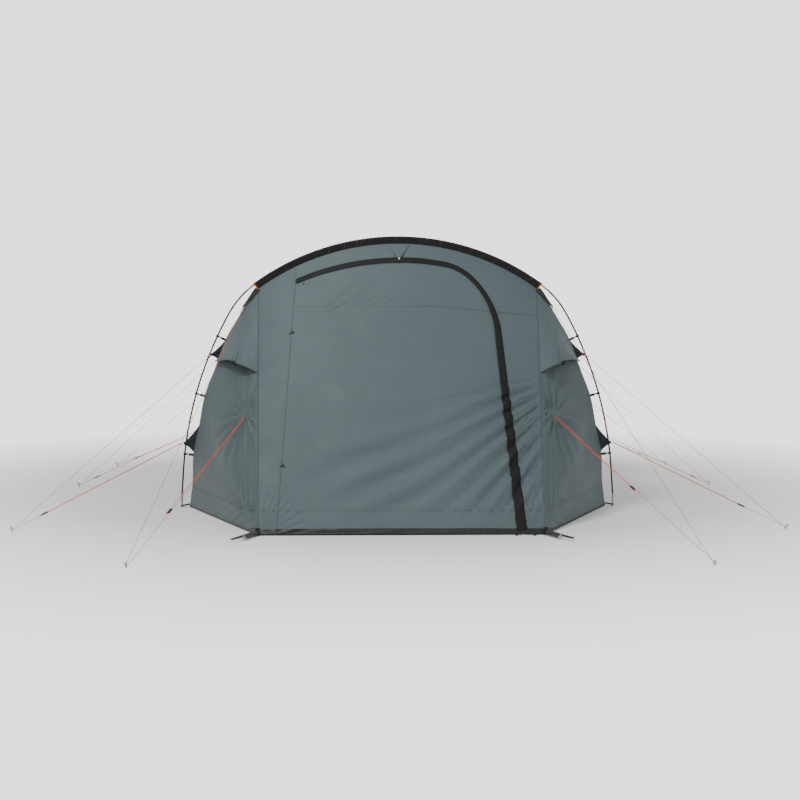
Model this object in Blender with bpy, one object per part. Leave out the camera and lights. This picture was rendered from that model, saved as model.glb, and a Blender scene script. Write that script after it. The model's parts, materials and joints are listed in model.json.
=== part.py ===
"""Tunnel tent on three arched poles, for blender --background --python part.py.

Metres, +Z up. The door faces -Y. The origin is on the ground in the middle of the tent's footprint.
"""

import math

import bmesh
import bpy
from mathutils import Matrix, Vector

# Overall sizes. Arch sizes run between the centre lines of the pole, on the ground and at the top.
ARCH_WIDTH = 3.23
ARCH_HEIGHT = 1.994
REAR_ARCH_WIDTH = 3.00
REAR_ARCH_HEIGHT = 1.85
PORCH_DEPTH = 1.27
BAY_LENGTH = 1.30
REAR_DEPTH = 0.90
FRONT_BASE_WIDTH = 1.88
REAR_BASE_WIDTH = 1.80

# A pole's bends from the top down one side: radius, degrees turned, steps. A straight foot follows.
TOP_BEND = (1.808, 35.8, 7)
SHOULDER_BEND = (0.667, 24.9, 4)
LEG_BEND = (2.78, 25.4, 5)
STRAIGHT_FOOT = 0.266

POLE_RADIUS = 0.00625
FERRULE_WALL = 0.00125
FOOT_FERRULE_HEIGHT = 0.095
FOOT_EYELET_RADIUS = 0.015
FOOT_EYELET_HEIGHT = 0.004
FOOT_PIN_RADIUS = 0.004
FOOT_PIN_HEIGHT = 0.024
FOOT_CLEARANCE = 0.0009

SLEEVE_CLEARANCE = 0.00155
SLEEVE_WALL = 0.0017
SLEEVE_WEB = 0.0024
SLEEVE_DROP = 0.042          # pole's centre line to the fly, inside a sleeve
CLIP_DROP = 0.065            # pole's centre line to the fly, below the sleeve
DROP_BLEND_STEPS = 3

SHEET = 0.001                # every fly, mesh and inner sheet
GROUNDSHEET = 0.0015
FLY_LIFT = 0.006             # lower edge of the fly above the ground
SEAM = 0.004                 # a sheet's edge to the seam line that it shares with the next sheet
ZIP_SEAM = 0.001             # a sheet's edge to the zip's centre line
HINGE_SEAM = 0.002           # the same along the door's sewn side
CORNER_SPREAD = 0.025        # where the side sheets stop short of a base corner
FLY_SAG = 0.045
SAG_FREE_HEIGHT = 0.5
BAY_ROWS = 4
END_ROWS = 5
DOOR_ROWS = 8

# The door, on the front wall. Its left side is sewn and its zip runs up the right side and along the top.
DOOR_HINGE_TOP_X = -0.745
DOOR_HINGE_BASE_X = -0.82
DOOR_ZIP_TOP_X = 0.68
DOOR_ZIP_BASE_X = 0.789
DOOR_TOP_DROP = 0.15
DOOR_CORNER_WIDTH = 0.36
DOOR_CORNER_HEIGHT = 0.50
DOOR_TOP_STEPS = 9
DOOR_CORNER_STEPS = 5
FLAP_TOP_WIDTH = 0.044
FLAP_BASE_WIDTH = 0.070
FLAP_STANDOFF = 0.010
FLAP_EDGE_STANDOFF = 0.003
FLAP_END_GAP = 0.006         # flap's end to the door's sewn side, so it turns clear of the wall
SLIDER_LENGTH = 0.014
SLIDER_WIDTH = 0.009
SLIDER_THICKNESS = 0.0035
SLIDER_LIFT = 0.0012
PULL_LENGTH = 0.036
PULL_WIDTH = 0.006
PULL_THICKNESS = 0.0016
SLIDER_START = 0.055         # slider's centre from the door's sewn side

# Vents, high on the front side panels: a mesh window below a hood that a prop holds off.
VENT_SEAM_LENGTH = 0.74
VENT_FOOT_HEIGHT = 1.06
VENT_TIP = 0.12
VENT_SEAM = 0.006
HOOD_STANDOFF = 0.010
HOOD_OPEN_ANGLE = 9.0
HOOD_SIDE_INSET = 0.022
HOOD_OVERHANG = 0.05
HOOD_ROWS = 3

CLIP_HEIGHTS = (1.27, 0.845, 0.397)
CLIP_WIDTH = 0.016
CLIP_CLEARANCE = 0.0009
CLIP_WALL = 0.0035
CLIP_STRAP = 0.003
CLIP_MOUTH = 70.0
CLIP_TIP_GAP = 0.001

INNER_SCALE = 0.935
INNER_FRONT_GAP = 0.08
INNER_REAR_GAP = 0.07

CORD_RADIUS = 0.0015
CORD_TURN_RADIUS = 0.0062
CORD_TURN_STEPS = 6
CORD_TAIL = 0.012
CORD_START_GAP = 0.003
PEG_RADIUS = 0.0035
PEG_HEIGHT = 0.026
PEG_HOOK_RADIUS = 0.0085
PEG_TIP_DROP = 0.006
PEG_HOOK_STEPS = 5
PEG_CORD_HEIGHT = 0.014
PEG_CORD_GAP = 0.0005
RUNNER_LENGTH = 0.046
RUNNER_EDGE = 0.005
RUNNER_THICKNESS = 0.0075
RUNNER_CLEARANCE = 0.0006
WING_REACH = 0.045
PANEL_GUY_GAP = 0.016
CORNER_PEG_OUT = 0.070
CORNER_PEG_AHEAD = 0.180

# Guys: arch, peg's distance out from the pole's foot and back from the arch, upper and lower height
# on the pole, runner's distance from the peg on the left and on the right.
POLE_GUYS = {
    "front_pole": (0, 0.96, -1.10, 1.116, 0.474, 0.27, 0.37),
    "middle_pole": (1, 0.995, -0.17, 1.116, 0.474, 0.16, 0.14),
    "rear_pole": (2, 1.06, -0.05, 1.040, 0.430, 0.19, 0.26),
}
PORCH_PEG_OUT = {"left": 0.66, "right": 0.84}    # from the base corner
PORCH_PEG_AHEAD = 1.07
PORCH_GUY_HIGH = 1.485
PORCH_GUY_HIGH_AHEAD = 0.035
PORCH_GUY_RULING = 1.41      # height on the arch of the ruling that holds the lower end
PORCH_GUY_SHARE = 0.48       # how far down that ruling it is
PORCH_RUNNERS = (0.62, 0.92)

TENT_LENGTH = PORCH_DEPTH + 2 * BAY_LENGTH + REAR_DEPTH
FRONT_ARCH_Y = PORCH_DEPTH - TENT_LENGTH / 2
SIDES = {"left": -1, "right": 1}

FLY_GREY = (0.125, 0.180, 0.188)
FLY_SHADE = (0.090, 0.130, 0.138)
SLEEVE_BLACK = (0.018, 0.016, 0.015)
POLE_BLACK = (0.012, 0.012, 0.013)
FERRULE_SILVER = (0.52, 0.57, 0.55)
MESH_GREY = (0.030, 0.036, 0.040)
INNER_SAND = (0.62, 0.60, 0.54)
GROUND_GREY = (0.045, 0.050, 0.052)
GUY_ORANGE = (0.76, 0.13, 0.035)
PEG_STEEL = (0.45, 0.46, 0.47)


def clear_scene():
    for obj in list(bpy.data.objects):
        bpy.data.objects.remove(obj, do_unlink=True)


def material(name, colour, roughness, metallic=0.0):
    made = bpy.data.materials.get(name)
    if made:
        return made
    made = bpy.data.materials.new(name)
    made.use_nodes = True
    shader = made.node_tree.nodes["Principled BSDF"]
    shader.inputs["Base Color"].default_value = (*colour, 1.0)
    shader.inputs["Roughness"].default_value = roughness
    shader.inputs["Metallic"].default_value = metallic
    return made


def add_object(name, data, finish, origin=None):
    """Links the object. With an origin, its points are stored from there, so it turns about that point."""
    data.materials.append(finish)
    obj = bpy.data.objects.new(name, data)
    bpy.context.scene.collection.objects.link(obj)
    if origin is not None:
        data.transform(Matrix.Translation(-origin))
        obj.location = origin
    return obj


def mesh_of(bm, name, smooth_angle=None):
    """Ends a bmesh as mesh data, with its faces pointing out."""
    bmesh.ops.recalc_face_normals(bm, faces=bm.faces)
    if bm.calc_volume(signed=True) < 0:
        bmesh.ops.reverse_faces(bm, faces=bm.faces)
    data = bpy.data.meshes.new(name)
    bm.to_mesh(data)
    bm.free()
    if smooth_angle:
        data.shade_smooth()
        data.set_sharp_from_angle(angle=math.radians(smooth_angle))
    return data


def grid_normals(grid):
    """Unit normals of a grid of points, from the neighbours of each."""
    rows, columns = len(grid), len(grid[0])
    normals = []
    for i in range(rows):
        line = []
        for j in range(columns):
            along = grid[min(i + 1, rows - 1)][j] - grid[max(i - 1, 0)][j]
            across = grid[i][min(j + 1, columns - 1)] - grid[i][max(j - 1, 0)]
            line.append(along.cross(across).normalized())
        normals.append(line)
    return normals


def sheet(name, grid, thickness, finish, origin=None):
    """A closed solid of even thickness about a grid of points. Both faces split along the same diagonals."""
    normals = grid_normals(grid)
    rows, columns = len(grid), len(grid[0])
    bm = bmesh.new()
    sides = []
    for offset in (thickness / 2, -thickness / 2):
        sides.append(
            [[bm.verts.new(grid[i][j] + normals[i][j] * offset) for j in range(columns)] for i in range(rows)]
        )
    for i in range(rows - 1):
        for j in range(columns - 1):
            for side in sides:
                a, b, c, d = side[i][j], side[i + 1][j], side[i + 1][j + 1], side[i][j + 1]
                bm.faces.new((a, b, c))
                bm.faces.new((a, c, d))
    edge = [(i, 0) for i in range(rows)]
    edge += [(rows - 1, j) for j in range(1, columns)]
    edge += [(i, columns - 1) for i in range(rows - 2, -1, -1)]
    edge += [(0, j) for j in range(columns - 2, 0, -1)]
    for (i, j), (k, m) in zip(edge, edge[1:] + edge[:1]):
        bm.faces.new((sides[0][i][j], sides[0][k][m], sides[1][k][m], sides[1][i][j]))
    return add_object(name, mesh_of(bm, name, 40), finish, origin)


def tube(name, points, radius, finish, detail=2):
    """A round cord, wire or pole along points, with flat ends."""
    data = bpy.data.curves.new(name, "CURVE")
    data.dimensions = "3D"
    data.bevel_depth = radius
    data.bevel_resolution = detail
    data.use_fill_caps = True
    line = data.splines.new("POLY")
    line.points.add(len(points) - 1)
    for slot, point in zip(line.points, points):
        slot.co = (*point, 1.0)
    return add_object(name, data, finish)


def turned(name, profile, centre, finish, sides=10):
    """A turned piece on a vertical axis, from its (radius, height) profile, closed at both ends."""
    bm = bmesh.new()
    rings = []
    for radius, height in profile:
        ring = []
        for k in range(sides):
            turn = 2 * math.pi * k / sides
            ring.append(bm.verts.new((radius * math.cos(turn), radius * math.sin(turn), height)))
        rings.append(ring)
    for low, high in zip(rings, rings[1:]):
        for k in range(sides):
            n = (k + 1) % sides
            bm.faces.new((low[k], low[n], high[n], high[k]))
    bm.faces.new(rings[0][::-1])
    bm.faces.new(rings[-1])
    obj = add_object(name, mesh_of(bm, name, 40), finish)
    obj.location = centre
    return obj


def prism(name, outlines, depth, finish, frame):
    """An outline, with holes after the first, extruded by depth about its own plane and set in a frame."""
    bm = bmesh.new()
    edges = []
    for outline in outlines:
        ring = [bm.verts.new((x, y, -depth / 2)) for x, y in outline]
        edges += [bm.edges.new((a, b)) for a, b in zip(ring, ring[1:] + ring[:1])]
    bmesh.ops.triangle_fill(bm, edges=edges, use_beauty=True)
    grown = bmesh.ops.extrude_face_region(bm, geom=list(bm.faces))
    moved = [item for item in grown["geom"] if isinstance(item, bmesh.types.BMVert)]
    bmesh.ops.translate(bm, verts=moved, vec=(0, 0, depth))
    obj = add_object(name, mesh_of(bm, name, 40), finish)
    obj.matrix_world = frame
    return obj


def frame_of(origin, x_axis, y_axis):
    z_axis = x_axis.cross(y_axis).normalized()
    turn = Matrix((x_axis, y_axis, z_axis)).transposed().to_4x4()
    return Matrix.Translation(origin) @ turn


def unit_half_arch():
    """A pole's right half from the top down, as shares of half its width and of its height."""
    points = [(0.0, 0.0)]
    x = z = angle = 0.0
    for radius, degrees, steps in (TOP_BEND, SHOULDER_BEND, LEG_BEND):
        step = math.radians(degrees / steps)
        for _ in range(steps):
            x += radius * (math.sin(angle + step) - math.sin(angle))
            z += radius * (math.cos(angle) - math.cos(angle + step))
            angle += step
            points.append((x, z))
    x += STRAIGHT_FOOT * math.cos(angle)
    z += STRAIGHT_FOOT * math.sin(angle)
    points.append((x, z))
    return [(px / x, 1 - pz / z) for px, pz in points]


def at_height(points, height, side):
    """The point of a left-to-right arch at a height, on one side."""
    half = len(points) // 2
    leg = points[half:] if side > 0 else points[half::-1]
    for above, below in zip(leg, leg[1:]):
        if below.z <= height:
            return above.lerp(below, (above.z - height) / (above.z - below.z))
    return leg[-1].copy()


class Arch:
    """One pole's arch, with the line where the fly meets it. Points run from the left foot to the right."""

    def __init__(self, y, width, height):
        half = [Vector((x * width / 2, y, z * height)) for x, z in unit_half_arch()]
        self.y = y
        self.pole = [Vector((-p.x, p.y, p.z)) for p in half[:0:-1]] + half
        self.middle = len(half) - 1
        self.fly = [self.fly_point(i) for i in range(len(self.pole))]

    def outward(self, i):
        along = self.pole[min(i + 1, len(self.pole) - 1)] - self.pole[max(i - 1, 0)]
        return Vector((-along.z, 0, along.x)).normalized()

    def fly_point(self, i):
        past_sleeve = abs(i - self.middle) - TOP_BEND[2]
        share = min(max(past_sleeve / DROP_BLEND_STEPS, 0), 1)
        drop = SLEEVE_DROP + (CLIP_DROP - SLEEVE_DROP) * share
        point = self.pole[i] - self.outward(i) * drop
        point.z = max(point.z, FLY_LIFT)
        return point

    def sleeve_range(self):
        return range(self.middle - TOP_BEND[2], self.middle + TOP_BEND[2] + 1)

    def fly_at(self, share_x):
        """The fly line over the top, at a share of the sleeve's half width from -1 to 1."""
        top = [self.fly[i] for i in self.sleeve_range()]
        x = share_x * top[-1].x
        for a, b in zip(top, top[1:]):
            if x <= b.x:
                return a.lerp(b, (x - a.x) / (b.x - a.x))
        return top[-1].copy()


class EndWall:
    """The sloping end between an arch and a base line: a ruled wall, and a cone to each base corner."""

    def __init__(self, arch, depth, base_width):
        self.arch = arch
        self.half_top = arch.fly[arch.sleeve_range()[-1]].x
        self.half_base = base_width / 2
        self.base_y = arch.y + depth
        self.slope = (self.point(0, 1) - self.point(0, 0)).length

    def half_width(self, v):
        return self.half_top + (self.half_base - self.half_top) * v

    def point(self, x, v):
        """The wall at x, v of the way from the arch to the base line."""
        share = x / self.half_width(v)
        top = self.arch.fly_at(share)
        return top.lerp(Vector((share * self.half_base, self.base_y, FLY_LIFT)), v)

    def corner(self, side):
        return Vector((side * self.half_base, self.base_y, FLY_LIFT))

    def cone_point(self, top, side, distance):
        """A point on the side sheet, at a distance from the arch towards the base corner."""
        return top + (self.corner(side) - top).normalized() * distance


def lerp(a, b, share):
    return a + (b - a) * share


def make_poles(arches, black, silver):
    for name, arch in arches.items():
        foot_top = FOOT_FERRULE_HEIGHT + FOOT_CLEARANCE
        points = [p for p in arch.pole if p.z > foot_top]
        ends = {side: at_height(arch.pole, foot_top, side) for side in (-1, 1)}
        tube(f"{name}_pole", [ends[-1], *points, ends[1]], POLE_RADIUS, black)
        for word, side in SIDES.items():
            profile = (
                (FOOT_EYELET_RADIUS, 0),
                (FOOT_EYELET_RADIUS, FOOT_EYELET_HEIGHT),
                (FOOT_PIN_RADIUS, FOOT_EYELET_HEIGHT),
                (FOOT_PIN_RADIUS, FOOT_PIN_HEIGHT),
                (POLE_RADIUS + FERRULE_WALL, FOOT_PIN_HEIGHT),
                (POLE_RADIUS + FERRULE_WALL, FOOT_FERRULE_HEIGHT),
            )
            spot = Vector((ends[side].x, arch.y, 0))
            turned(f"{name}_pole_foot_{word}", profile, spot, silver)


def make_sleeve(name, arch, finish):
    """A fabric tube round the pole's top, drawn to a web that is sewn to the fly."""
    outer = [(math.cos(t), math.sin(t)) for t in (math.radians(a) for a in (0, 45, 90))]
    hole = POLE_RADIUS + SLEEVE_CLEARANCE
    wall = hole + SLEEVE_WALL
    right = [(c * wall, s * wall) for c, s in outer]
    web = SLEEVE_WEB / 2
    left = [(c, -s) for c, s in right[:0:-1]]
    outline = [*right, (-SLEEVE_DROP, web), (-SLEEVE_DROP, 0), (-SLEEVE_DROP, -web), *left]
    bore = []
    for k in range(len(outline)):
        turn = 2 * math.pi * k / len(outline)
        bore.append((hole * math.cos(turn), hole * math.sin(turn)))
    bm = bmesh.new()
    stations = []
    for i in arch.sleeve_range():
        out = arch.outward(i)
        station = []
        for ring in (outline, bore):
            station.append([bm.verts.new(arch.pole[i] + out * x + Vector((0, y, 0))) for x, y in ring])
        stations.append(station)
    count = len(outline)
    for first, second in zip(stations, stations[1:]):
        for a, b in zip(first, second):
            for k in range(count):
                n = (k + 1) % count
                bm.faces.new((a[k], a[n], b[n], b[k]))
    for skin, lining in (stations[0], stations[-1]):
        for k in range(count):
            n = (k + 1) % count
            bm.faces.new((skin[k], skin[n], lining[n], lining[k]))
    add_object(name, mesh_of(bm, name, 40), finish)


def make_bay(name, front, back, finish):
    """A fly bay between two arches. It sags a little between them."""
    grid = []
    for i in range(len(front.fly)):
        a = front.fly[i] + Vector((0, SEAM, 0))
        b = back.fly[i] - Vector((0, SEAM, 0))
        free = min(a.z / SAG_FREE_HEIGHT, 1)
        row = []
        for j in range(BAY_ROWS + 1):
            share = j / BAY_ROWS
            sag = 4 * share * (1 - share) * FLY_SAG * free
            row.append(a.lerp(b, share) - front.outward(i) * sag)
        grid.append(row)
    sheet(name, grid, SHEET, finish)


def end_grid(wall, rows, scale=1.0, shift=0.0):
    """The whole end of the tent as one sheet: both cones and the wall between them."""
    arch = wall.arch
    grid = []
    for i, top in enumerate(arch.fly):
        past_sleeve = abs(i - arch.middle) - TOP_BEND[2]
        side = -1 if i < arch.middle else 1
        if past_sleeve > 0:
            reach = (wall.corner(side) - top).length - CORNER_SPREAD
            row = [wall.cone_point(top, side, lerp(SEAM, reach, j / rows)) for j in range(rows + 1)]
        else:
            low = SEAM / wall.slope
            share = top.x / wall.half_top
            base = Vector((share * wall.half_base, wall.base_y, FLY_LIFT))
            row = [top.lerp(base, lerp(low, 1, j / rows)) for j in range(rows + 1)]
        grid.append([Vector((p.x * scale, p.y + shift, p.z * scale)) for p in row])
    return grid


def door_outline(wall, inset):
    """The door's top edge and corner in (x, v), from the sewn side to the zip, drawn in by an inset."""
    v_top = (DOOR_TOP_DROP + inset) / wall.slope
    v_corner = (DOOR_TOP_DROP + DOOR_CORNER_HEIGHT) / wall.slope
    hinge = lerp(DOOR_HINGE_TOP_X, DOOR_HINGE_BASE_X, v_top) + (HINGE_SEAM if inset > 0 else -HINGE_SEAM)
    zip_x = lerp(DOOR_ZIP_TOP_X, DOOR_ZIP_BASE_X, v_corner) - inset
    corner_x = zip_x - DOOR_CORNER_WIDTH
    points = [(lerp(hinge, corner_x, k / DOOR_TOP_STEPS), v_top) for k in range(DOOR_TOP_STEPS)]
    for k in range(DOOR_CORNER_STEPS + 1):
        turn = math.radians(90 * k / DOOR_CORNER_STEPS)
        x = corner_x + DOOR_CORNER_WIDTH * math.sin(turn)
        points.append((x, v_corner - (v_corner - v_top) * math.cos(turn)))
    return points


def door_base(inset):
    """The door's two base corners' x, drawn in by an inset."""
    hinge = DOOR_HINGE_BASE_X + (HINGE_SEAM if inset > 0 else -HINGE_SEAM)
    return hinge, DOOR_ZIP_BASE_X - inset


def make_door(wall, finish, hinge):
    top = door_outline(wall, ZIP_SEAM)
    left, right = door_base(ZIP_SEAM)
    grid = []
    for k, (x, v) in enumerate(top):
        base_x = lerp(left, right, (x - top[0][0]) / (top[-1][0] - top[0][0]))
        shares = [j / DOOR_ROWS for j in range(DOOR_ROWS + 1)]
        row = [wall.point(lerp(x, base_x, share), lerp(v, 1, share)) for share in shares]
        grid.append(row)
    return sheet("door_panel", grid, SHEET, finish, hinge)


def make_front_wall(wall, finish):
    """The fixed cloth round the door: a strip on the left, a band over the top and a panel on the right."""
    top = door_outline(wall, -ZIP_SEAM)
    left, right = door_base(-ZIP_SEAM)
    v_high = SEAM / wall.slope
    inner, outer = [], []
    for j in range(DOOR_ROWS, 0, -1):
        share = j / DOOR_ROWS
        inner.append((lerp(top[0][0], left, share), lerp(top[0][1], 1, share)))
        v = lerp(v_high, 1, share)
        outer.append((SEAM - wall.half_width(v), v))
    edge = wall.half_width(v_high) - SEAM
    for k, pair in enumerate(top):
        inner.append(pair)
        outer.append((lerp(-edge, edge, k / (len(top) - 1)), v_high))
    for j in range(1, DOOR_ROWS + 1):
        share = j / DOOR_ROWS
        inner.append((lerp(top[-1][0], right, share), lerp(top[-1][1], 1, share)))
        v = lerp(v_high, 1, share)
        outer.append((wall.half_width(v) - SEAM, v))
    grid = []
    for near, far in zip(inner, outer):
        row = [wall.point(lerp(near[0], far[0], s), lerp(near[1], far[1], s)) for s in (0, 0.5, 1)]
        grid.append(row)
    sheet("front_wall", grid, SHEET, finish)


def zip_line(wall):
    """The zip's centre line in (x, v): along the top, round the corner and down to the base."""
    top = door_outline(wall, 0.0)
    down = []
    for j in range(1, DOOR_ROWS):
        share = j / DOOR_ROWS
        down.append((lerp(top[-1][0], DOOR_ZIP_BASE_X, share), lerp(top[-1][1], 1, share)))
    return top + down


def make_flap(wall, finish, hinge):
    """The strip over the zip. It stands off the wall, apart from its sewn outer edge."""
    line = zip_line(wall)
    line[0] = (line[0][0] + HINGE_SEAM + FLAP_END_GAP, line[0][1])
    flat = [Vector((x, -v * wall.slope)) for x, v in line]
    grid = []
    for k, here in enumerate(flat):
        along = (flat[min(k + 1, len(flat) - 1)] - flat[max(k - 1, 0)]).normalized()
        out = Vector((-along.y, along.x))
        half = lerp(FLAP_TOP_WIDTH, FLAP_BASE_WIDTH, line[k][1]) / 2
        surface = []
        for offset in (half, half * 0.6, -half * 0.2, -half):
            spot = here + out * offset
            surface.append(wall.point(spot.x, min(-spot.y / wall.slope, 1)))
        grid.append(surface)
    normals = grid_normals(grid)
    facing = 1 if normals[0][0].y < 0 else -1
    lifts = (FLAP_EDGE_STANDOFF, FLAP_STANDOFF, FLAP_STANDOFF, FLAP_STANDOFF)
    raised = []
    for points, ways in zip(grid, normals):
        raised.append([p + n * facing * lift for p, n, lift in zip(points, ways, lifts)])
    return sheet("door_zip_flap", raised, SHEET, finish, hinge)


def make_slider(wall, finish, centre):
    """The zip's slider with its pull, at the closed end of the zip beside the sewn side."""
    v = DOOR_TOP_DROP / wall.slope
    x = lerp(DOOR_HINGE_TOP_X, DOOR_HINGE_BASE_X, v) + SLIDER_START
    here = wall.point(x, v)
    along = (wall.point(x + SLIDER_LENGTH, v) - wall.point(x - SLIDER_LENGTH, v)).normalized()
    down = (wall.point(x, v + PULL_LENGTH / wall.slope) - here).normalized()
    out = down.cross(along).normalized()
    if out.y > 0:
        out.negate()
    down = along.cross(out).normalized()
    if down.z > 0:
        down.negate()
    bm = bmesh.new()
    low = SLIDER_LIFT + SHEET / 2
    pull_low = low + SLIDER_THICKNESS - PULL_THICKNESS
    body = ((-SLIDER_LENGTH / 2, SLIDER_LENGTH / 2), (-SLIDER_WIDTH / 2, SLIDER_WIDTH / 2))
    outline = (
        (body[0][0], body[1][0]),
        (body[0][1], body[1][0]),
        (body[0][1], body[1][1]),
        (PULL_WIDTH / 2, body[1][1]),
        (-PULL_WIDTH / 2, body[1][1]),
        (body[0][0], body[1][1]),
    )
    lower = [bm.verts.new(here + along * a + down * d + out * low) for a, d in outline]
    step = [bm.verts.new(here + along * a + down * d + out * pull_low) for a, d in outline]
    upper = [bm.verts.new(here + along * a + down * d + out * (low + SLIDER_THICKNESS)) for a, d in outline]
    bm.faces.new(lower)
    bm.faces.new(upper)
    count = len(outline)
    for k in range(count):
        n = (k + 1) % count
        bm.faces.new((lower[k], lower[n], step[n], step[k]))
        if k != 3:
            bm.faces.new((step[k], step[n], upper[n], upper[k]))
    tip = []
    for height in (pull_low, low + SLIDER_THICKNESS):
        for a in (PULL_WIDTH / 2, -PULL_WIDTH / 2):
            tip.append(bm.verts.new(here + along * a + down * (body[1][1] + PULL_LENGTH) + out * height))
    bm.faces.new((step[3], step[4], tip[1], tip[0]))
    bm.faces.new((upper[3], upper[4], tip[3], tip[2]))
    bm.faces.new((step[3], upper[3], tip[2], tip[0]))
    bm.faces.new((step[4], upper[4], tip[3], tip[1]))
    bm.faces.new((tip[0], tip[1], tip[3], tip[2]))
    return add_object("door_zip_slider", mesh_of(bm, "door_zip_slider"), finish, centre)


def zip_arc_centre(wall):
    """The centre of the circle through the top zip's middle and its end at the sewn side."""
    v = DOOR_TOP_DROP / wall.slope
    x = lerp(DOOR_HINGE_TOP_X, DOOR_HINGE_BASE_X, v) + SLIDER_START
    end, middle = wall.point(x, v), wall.point(0, v)
    drop = middle.z - end.z
    radius = (end.x ** 2 + drop ** 2) / (2 * drop)
    return Vector((0, middle.y, middle.z - radius))


def side_tops(arch, side, lowest=0.0):
    """The fly line from the sleeve's end down one side, stopping at a height."""
    order = range(arch.middle + side * TOP_BEND[2], arch.middle + side * (arch.middle + 1), side)
    points = [arch.fly[i] for i in order if arch.fly[i].z > lowest]
    if lowest > 0:
        points.append(at_height(arch.fly, lowest, side))
    return points


def seam_start(tops):
    """The same line, begun one seam away from the wall's corner seam."""
    first = tops[0] + (tops[1] - tops[0]).normalized() * SEAM
    return [first, *tops[1:]]


def vent_length(tops, point):
    """How far the vent reaches from the arch towards the base corner, where the ruling leaves the arch."""
    share = (tops[0].z - point.z) / (tops[0].z - VENT_FOOT_HEIGHT)
    return VENT_SEAM_LENGTH * max(1 - share, 0)


def make_side_panel(name, wall, side, finish):
    tops = side_tops(wall.arch, side)
    foot = at_height(wall.arch.fly, VENT_FOOT_HEIGHT, side)
    line = [p for p in tops if p.z > foot.z] + [foot] + [p for p in tops if p.z <= foot.z]
    grid = []
    for point in seam_start(line):
        start = max(vent_length(tops, point) + VENT_SEAM, SEAM)
        reach = (wall.corner(side) - point).length - CORNER_SPREAD
        row = [wall.cone_point(point, side, lerp(start, reach, j / END_ROWS)) for j in range(END_ROWS + 1)]
        grid.append(row)
    sheet(name, grid, SHEET, finish)


def make_vent_mesh(name, wall, side, finish):
    tops = side_tops(wall.arch, side)
    tip_height = VENT_FOOT_HEIGHT + VENT_TIP
    line = seam_start(side_tops(wall.arch, side, tip_height))
    grid = []
    for point in line:
        end = vent_length(tops, point) - VENT_SEAM
        grid.append([wall.cone_point(point, side, lerp(SEAM, end, j / 2)) for j in range(3)])
    sheet(name, grid, SHEET, finish)


def hood_hinge(wall, side):
    """Top and foot of the line that a hood turns about, and the way that it faces."""
    tops = side_tops(wall.arch, side, VENT_FOOT_HEIGHT)
    top = wall.cone_point(tops[0], side, HOOD_SIDE_INSET)
    foot = wall.cone_point(tops[-1], side, HOOD_SIDE_INSET)
    facing = (foot - top).cross(wall.corner(side) - top).normalized()
    if facing.y > 0:
        facing.negate()
    return top + facing * HOOD_STANDOFF, foot + facing * HOOD_STANDOFF, facing


def make_hood(name, wall, side, finish):
    tops = side_tops(wall.arch, side)
    line = seam_start(side_tops(wall.arch, side, VENT_FOOT_HEIGHT))
    top, foot, facing = hood_hinge(wall, side)
    along = (foot - top).normalized()
    rise = math.tan(math.radians(HOOD_OPEN_ANGLE))
    grid = []
    for point in line:
        end = vent_length(tops, point) + HOOD_OVERHANG + HOOD_SIDE_INSET
        row = []
        for j in range(HOOD_ROWS + 1):
            spot = wall.cone_point(point, side, lerp(HOOD_SIDE_INSET, end, j / HOOD_ROWS))
            spot += facing * HOOD_STANDOFF
            reach = spot - top
            reach -= along * reach.dot(along)
            row.append(spot + facing * (reach.length * rise))
        grid.append(row)
    return sheet(name, grid, SHEET, finish, top)


def inward_at(arch, height, side, span):
    """The way into the tent, square to a leg at a height, over a short span of it."""
    along = at_height(arch.pole, height + span, side) - at_height(arch.pole, height - span, side)
    return Vector((-side * abs(along.z), 0, -abs(along.x))).normalized()


def make_clip(name, arch, side, height, finish):
    """A snap hook round the pole, with a strap to the fly's edge."""
    spot = at_height(arch.pole, height, side)
    edge = at_height(arch.fly, height, side)
    inward = inward_at(arch, height, side, CLIP_WIDTH / 2)
    inner = POLE_RADIUS + CLIP_CLEARANCE
    outer = inner + CLIP_WALL
    reach = abs((edge - spot).dot(inward)) - CLIP_TIP_GAP
    root = math.degrees(math.asin(CLIP_STRAP / 2 / outer))
    mouth_low, mouth_high = 90 - CLIP_MOUTH / 2, 90 + CLIP_MOUTH / 2

    def arc(radius, start, end, steps):
        turns = [math.radians(lerp(start, end, k / steps)) for k in range(steps + 1)]
        return [(radius * math.cos(t), radius * math.sin(t)) for t in turns]

    outline = arc(outer, mouth_high - 360, -root, 6)
    outline += [(reach, -CLIP_STRAP / 2), (reach, CLIP_STRAP / 2)]
    outline += arc(outer, root, mouth_low, 2)
    outline += arc(inner, mouth_low, mouth_high - 360, 8)
    prism(name, [outline], CLIP_WIDTH, finish, frame_of(spot, inward, Vector((0, 1, 0))))


def make_groundsheet(outline, finish):
    flat = [(p.x, p.y) for p in outline]
    prism("groundsheet", [flat], GROUNDSHEET, finish, Matrix.Translation((0, 0, GROUNDSHEET / 2)))


def make_inner(middle, rear, wall, finish):
    """The bedroom hung inside the rear bay and end, open at its front."""
    front_y = middle.y + INNER_FRONT_GAP
    back_y = rear.y - INNER_REAR_GAP
    end = end_grid(wall, 3, INNER_SCALE, -INNER_REAR_GAP)
    grid = []
    for i in range(0, len(middle.fly), 2):
        row = []
        for j in range(3):
            share = j / 3
            point = middle.fly[i].lerp(rear.fly[i], share)
            row.append(Vector((point.x * INNER_SCALE, lerp(front_y, back_y, share), point.z * INNER_SCALE)))
        grid.append(row + end[i])
    sheet("bedroom_inner", grid, SHEET, finish)


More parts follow.
